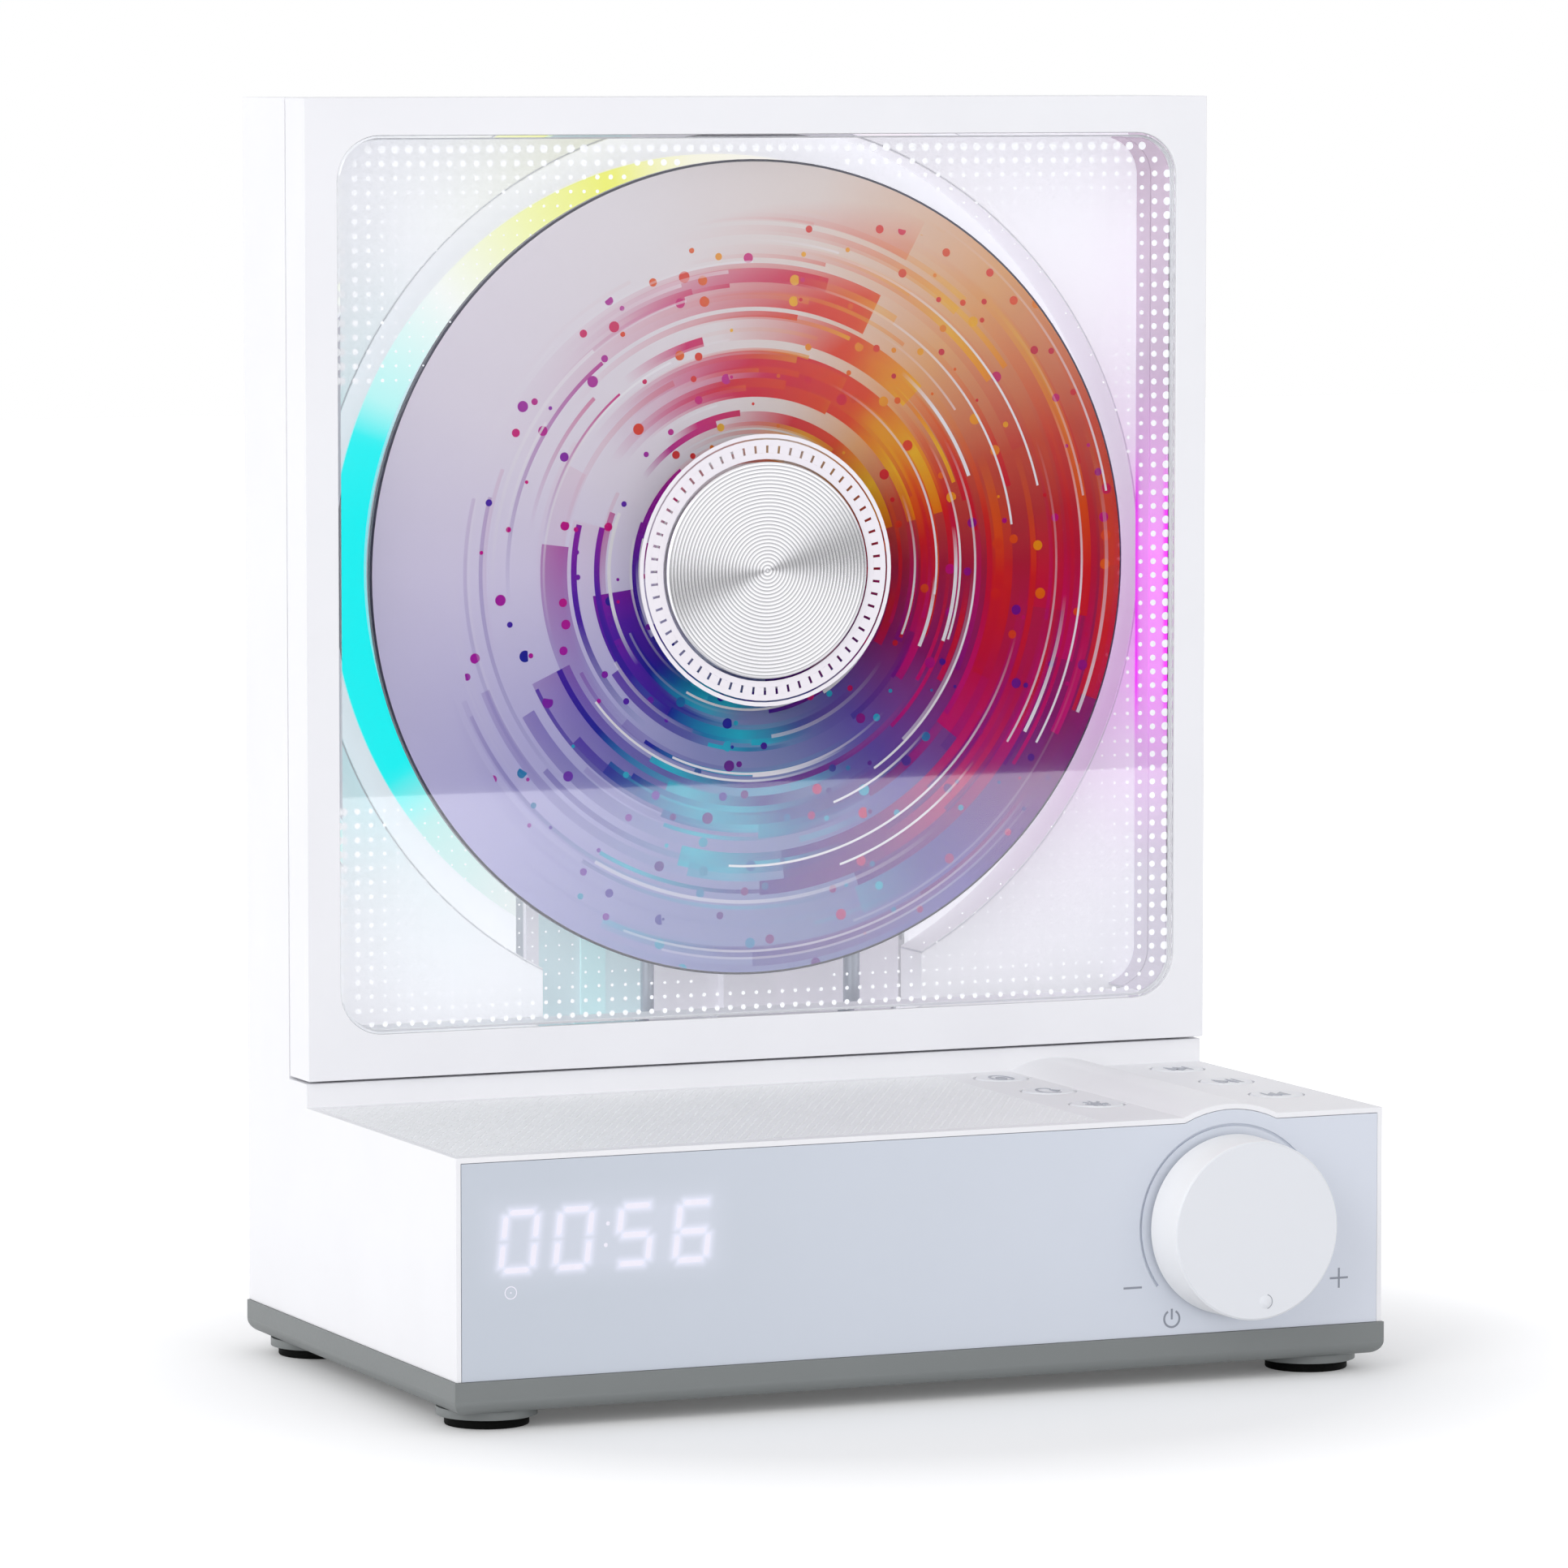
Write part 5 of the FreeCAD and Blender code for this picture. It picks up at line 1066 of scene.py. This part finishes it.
# Painted light: the dots glow as if lit by the lamps behind them.
dot_print = moulded("dot_print", PRINT_WHITE, dull=(0.4, 0.5), cloud=0.01, Emission_Strength=DOT_PAINTED_LIGHT,
                    Emission_Color=shade(*PRINT_WHITE))
columns = math.floor((half_wide - DOT_MARGIN) / DOT_PITCH + 0.5)
rows = round((DOT_TOP - DOT_BOTTOM) / DOT_PITCH)
dot_turns = [2 * math.pi * i / DOT_SIDES for i in range(DOT_SIDES)]
dots = []
for row in range(rows + 1):
    for column in range(-columns, columns):
        across = (column + 0.5) * DOT_PITCH
        along = DOT_BOTTOM + row * (DOT_TOP - DOT_BOTTOM) / rows
        from_side = round(columns - 0.5 - abs(column + 0.5))
        from_end = min(row, rows - row)
        depth = min(from_end, from_side)
        corner = from_end + from_side < CORNER_STEPS
        over_cyan = across < 0 and CYAN_LOW < along < CYAN_HIGH
        clear = over_cyan or math.hypot(across, along - SPINDLE.z / MM) < DOT_CLEAR
        if depth < DOT_ROWS and not corner and not clear:
            largest = DOT_LARGEST * (DOT_LOW_SHARE if row < from_side and row < DOT_ROWS else 1.0)
            radius = max(DOT_SMALLEST, largest * DOT_SHRINK ** depth)
            dots.append([(across + radius * math.cos(turn), along + radius * math.sin(turn))
                         for turn in dot_turns])
pane_back = Vector((0, window_high.y + DOT_SETBACK * MM, 0))
mirrored = [[(-across, along) for across, along in reversed(outline)] for outline in dots]
printed("window_dots", mirrored, pane_back, -ACROSS, UPWARD, dot_print, "door", "white_door")

RING_WHITE = (242, 237, 244)
RING_INNER = 16.3
RING_OUTER = 20.0
TICKS = 60
TICK_SHARE = 0.2
TICK_INNER = 17.2
TICK_OUTER = 18.3
LINE_INNER = 19.15
LINE_OUTER = 19.4


def ring_print(inner, outer, start, end):
    """An arc of the ring from one radius to another."""
    return band((inner + outer) / 2, outer - inner, start, end)


ring_white = moulded("ring_white", RING_WHITE, dull=(0.4, 0.5), cloud=0.01)
ring_marks = []
for start in (0, 90, 180, 270):
    ring_marks += [ring_print(RING_INNER, TICK_INNER, start, start + 90),
                   ring_print(TICK_OUTER, LINE_INNER, start, start + 90),
                   ring_print(LINE_OUTER, RING_OUTER, start, start + 90)]
for tick in range(TICKS):
    step = 360 / TICKS
    ring_marks.append(ring_print(TICK_INNER, TICK_OUTER, tick * step, (tick + 1 - TICK_SHARE) * step))
pane_front = Vector((0, window_low.y, SPINDLE.z))
printed("window_ring", ring_marks, pane_front, ACROSS, UPWARD, ring_white, "door", "white_door")

# Cap
# A turned aluminium cap is stuck on the window over the clamp. The lathe tool cuts its face in fine
# rings, so that light runs across it in two fans, and its rim is broken by a small chamfer.
CAP_GREY = (236, 235, 238)
CAP_VALLEY_SHADE = (140, 140, 145)
CAP_RINGS = 29
CAP_GROOVE = 0.07
CAP_EDGE = 0.2
CAP_HEART = 0.05
CAP_DULL = (0.22, 0.34)
CAP_MARK = 0.06
CAP_SHARPNESS = 3.0
cap_low, cap_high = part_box("hub_cap")
cap_rim = (cap_high.x - cap_low.x) / 2 / MM
cap_face, cap_foot = cap_low.y / MM, cap_high.y / MM
cap_pitch = (cap_rim - CAP_EDGE) / CAP_RINGS
turned_aluminium, tree, surface, place = new_finish("turned_aluminium")
radius = about_spindle(tree, place)[0]
valley = worked(tree, "DIVIDE", worked(tree, "PINGPONG", radius, cap_pitch / 2 * MM), cap_pitch / 2 * MM)
groove_shade = worked(tree, "POWER", valley, CAP_SHARPNESS)
marks = wire(tree, "TexNoise", {"W": radius, "Scale": 1 / (CAP_MARK * MM)}, noise_dimensions="1D").outputs[0]
# Painted shade: the bottoms of the turned rings are coloured darker than their lands.
fill(tree, surface, {"Base Color": between(tree, groove_shade, shade(*CAP_GREY), shade(*CAP_VALLEY_SHADE)),
                     "Roughness": spread(tree, marks, *CAP_DULL), "Metallic": 1.0})
cap_profile = []
for i in range(CAP_RINGS):
    cap_profile.append((max(CAP_HEART, i * cap_pitch), cap_face, 0))
    cap_profile.append(((i + 0.5) * cap_pitch, cap_face + CAP_GROOVE, 0))
cap_profile += [(cap_rim - CAP_EDGE, cap_face, 0), (cap_rim, cap_face + CAP_EDGE, 0), (cap_rim, cap_foot, 0),
                (CAP_HEART, cap_foot, 0)]
cap = turned("turned_cap", cap_profile, (turned_aluminium,), "door", "turned_aluminium")
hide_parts("hub_cap")

# Case screws
# Plated steel screws with flat heads and a cross recess go in last. They hold the rear cover and the
# base to the housing, with their heads sunk flush.
SCREW_GREY = (168, 170, 174)
HEAD_RADIUS = 2.4
HEAD_HEIGHT = 1.3
HEAD_EDGE = 0.2
SHANK_RADIUS = 1.2
SHANK_END = 9.3
CROSS_REACH = 1.4
CROSS_HALF = 0.3
CROSS_DEPTH = 0.75
CROSS_TAPER = 0.75
CROSS_STEPS = 3
SAME_FACE = 0.05
HEAD_APART = 2.1


def head_middles(part, level):
    """The middles of the screw heads that face one way, read off the corners on their faces."""
    groups = []
    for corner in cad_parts["case_screws"].data.vertices:
        if abs(corner.co[part] - level) < SAME_FACE * MM:
            reach = HEAD_APART * HEAD_RADIUS * MM
            near = [group for group in groups if (group[0] - corner.co).length < reach]
            if near:
                near[0].append(corner.co.copy())
            else:
                groups.append([corner.co.copy()])
    middles = []
    for group in groups:
        spans = [[place[i] for place in group] for i in range(3)]
        middles.append(Vector([(min(span) + max(span)) / 2 for span in spans]))
    return middles


def cross_outline():
    """The recess's mouth, with the sides of its four arms cut into steps."""
    arm = ((CROSS_REACH, -CROSS_HALF), (CROSS_REACH, CROSS_HALF), (CROSS_HALF, CROSS_HALF))
    corners = []
    for quarter in range(4):
        for across, along in arm:
            for _ in range(quarter):
                across, along = -along, across
            corners.append((across, along))
    outline = []
    for (across, along), (next_across, next_along) in zip(corners, corners[1:] + corners[:1]):
        for step in range(CROSS_STEPS):
            share = step / CROSS_STEPS
            outline.append((across + (next_across - across) * share, along + (next_along - along) * share))
    return outline


def screw_rings():
    """Rings of a screw as (across, along, depth) in mm, from the recess's floor round to the tip."""
    mouth = cross_outline()
    turns = [math.atan2(along, across) for across, along in mouth]
    rings = [[(across * CROSS_TAPER, along * CROSS_TAPER, CROSS_DEPTH) for across, along in mouth],
             [(across, along, 0.0) for across, along in mouth]]
    profile = ((HEAD_RADIUS - HEAD_EDGE, 0.0), (HEAD_RADIUS, HEAD_EDGE), (HEAD_RADIUS, HEAD_HEIGHT),
               (SHANK_RADIUS, HEAD_HEIGHT), (SHANK_RADIUS, SHANK_END))
    for radius, depth in profile:
        rings.append([(radius * math.cos(turn), radius * math.sin(turn), depth) for turn in turns])
    return rings


screws_low, screws_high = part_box("case_screws")
heads = [(middle, -ACROSS, UPWARD) for middle in head_middles(1, screws_high.y)]
heads += [(middle, ACROSS, -AHEAD) for middle in head_middles(2, screws_low.z)]
rings = screw_rings()
screw_points = []
screw_faces = []
for middle, right, up in heads:
    out = right.cross(up)
    screw_faces += lofted(len(screw_points), len(rings[0]), len(rings))
    screw_points += [middle + (right * across + up * along - out * depth) * MM
                     for ring in rings for across, along, depth in ring]
screw_plating = metal("screw_plating", SCREW_GREY)
screws = new_piece("recessed_screws", screw_points, screw_faces, screw_plating, "case", "bright_steel")
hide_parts("case_screws")

# Studio
# A white floor keeps the soft shadow under a white surround that is brighter near the horizon. A soft lamp
# stands at the left front. Three sheets of card in front, one of them graded, show only in gloss and glass.
HORIZON_LEVEL = 1.38
ZENITH_LEVEL = 0.45
HORIZON_WHITE = (255, 255, 255)
ZENITH_BLUE = (250, 251, 255)
LAMP_POWER = 8.5
LAMP_SIZE = 1.0
LAMP_AT = (-1.4, -0.9, 0.9)
LAMP_AIM = (0, 0, 0.08)
FLOOR_SIZE = 6.0
FLOOR_WHITE = (245, 245, 245)
LIFT_NEAR = 0.1
LIFT_FAR = 0.72
LIFT_START = 0.08
LIFT_END = 0.18
CARD_FADE = (0.07, 0.17)
# Each card has a middle, a turn, a half width, the heights of its foot and head, and the levels there.
CARDS = {
    "card_window": ((0.38, -0.85), 0.0, 0.18, 0.0, 0.2, 0.02, 0.8),
    "card_right": ((0.852, -0.675), math.radians(50.8), 0.155, 0.064, 0.256, 0.12, 0.12),
    "card_left": ((-0.031, -0.389), math.radians(-4.4), 0.09, 0.0, 0.1, 0.0, 0.0),
}


def seen_or_mirrored(tree):
    """1 for rays from the camera and for those that metal and glass send on, else 0."""
    rays = wire(tree, "LightPath").outputs
    both = worked(tree, "MAXIMUM", rays["Is Camera Ray"], rays["Is Glossy Ray"])
    return worked(tree, "MAXIMUM", both, rays["Is Transmission Ray"])


world = bpy.data.worlds.new("surround")
bpy.context.scene.world = world
world.use_nodes = True
tree = world.node_tree
light = tree.nodes["Background"]
rise = parted(tree, wire(tree, "TexCoord").outputs["Generated"])[2]
fill(tree, light, {"Color": between(tree, rise, shade(*HORIZON_WHITE), shade(*ZENITH_BLUE)),
                   "Strength": spread(tree, rise, HORIZON_LEVEL, ZENITH_LEVEL)})
white = wire(tree, "Background", {"Color": shade(*HORIZON_WHITE), "Strength": 1.0})
surround = wire(tree, "MixShader", {0: seen_or_mirrored(tree), 1: light.outputs[0], 2: white.outputs[0]})
fill(tree, tree.nodes["World Output"], {"Surface": surround.outputs[0]})


def stage_sheet(name, corners, finish):
    """A flat stage sheet with the given corners in metres."""
    mesh = bpy.data.meshes.new(name)
    mesh.from_pydata(corners, [], [range(len(corners))])
    mesh.materials.append(finish)
    sheet = bpy.data.objects.new(name, mesh)
    bpy.context.collection.objects.link(sheet)
    return sheet


def stage_finish(name):
    """A stage finish with no shader yet: its material, its node tree and the place on the sheet."""
    finish, tree, surface, place = new_finish(name)
    tree.nodes.remove(surface)
    return finish, tree, place


floor_white, tree, place = stage_finish("floor_white")
distance = wire(tree, "VectorMath", {0: place}, operation="LENGTH").outputs["Value"]
rising = spread(tree, distance, LIFT_NEAR, LIFT_FAR, LIFT_START, LIFT_END)
lift = worked(tree, "MULTIPLY", rising, seen_or_mirrored(tree))
matt = wire(tree, "BsdfDiffuse", {"Color": shade(*FLOOR_WHITE)})
lifted = wire(tree, "Emission", {"Color": shade(*HORIZON_WHITE), "Strength": lift})
both = wire(tree, "AddShader", {0: matt.outputs[0], 1: lifted.outputs[0]})
fill(tree, tree.nodes["Material Output"], {"Surface": both.outputs[0]})
half = FLOOR_SIZE / 2
stage_sheet("floor", [(-half, -half, 0), (half, -half, 0), (half, half, 0), (-half, half, 0)], floor_white)


def card_finish(name, low_level, high_level):
    """A card whose light goes from one level at its foot to another at its head."""
    finish, tree, place = stage_finish(name)
    level = spread(tree, parted(tree, place)[2], low_level, high_level, *CARD_FADE)
    grey = wire(tree, "Emission", {"Strength": level})
    fill(tree, tree.nodes["Material Output"], {"Surface": grey.outputs[0]})
    return finish


for name, ((middle_x, middle_y), turn, half_width, low, high, foot, head) in CARDS.items():
    side_x, side_y = half_width * math.cos(turn), half_width * math.sin(turn)
    left = (middle_x - side_x, middle_y - side_y)
    right = (middle_x + side_x, middle_y + side_y)
    corners = [(*left, low), (*right, low), (*right, high), (*left, high)]
    card = stage_sheet(name, corners, card_finish(name, foot, head))
    card.visible_camera = False
    card.visible_diffuse = False
    card.visible_shadow = False

lamp = bpy.data.lights.new("lamp_left", "AREA")
lamp.energy = LAMP_POWER
lamp.size = LAMP_SIZE
holder = bpy.data.objects.new("lamp_left", lamp)
holder.location = LAMP_AT
holder.rotation_euler = (Vector(LAMP_AIM) - Vector(LAMP_AT)).to_track_quat("-Z", "Y").to_euler()
bpy.context.collection.objects.link(holder)

# Camera
# The camera stands well back at the left front, a little above the player's top, and looks slightly down.
# Its long lens keeps the player's upright edges nearly parallel.
CAMERA_AT = (-0.47963, -1.10346, 0.19051)
CAMERA_TURN = math.radians(23.228)
CAMERA_DIP = math.radians(5.0296)
CAMERA_LENS = 191.971
SENSOR = 36.0
view = bpy.data.cameras.new("camera")
view.lens = CAMERA_LENS
view.sensor_width = SENSOR
camera = bpy.data.objects.new("camera", view)
camera.location = CAMERA_AT
camera.rotation_euler = Euler((math.pi / 2 - CAMERA_DIP, 0, -CAMERA_TURN))
bpy.context.collection.objects.link(camera)
bpy.context.scene.camera = camera
bpy.context.scene.view_settings.view_transform = "Standard"
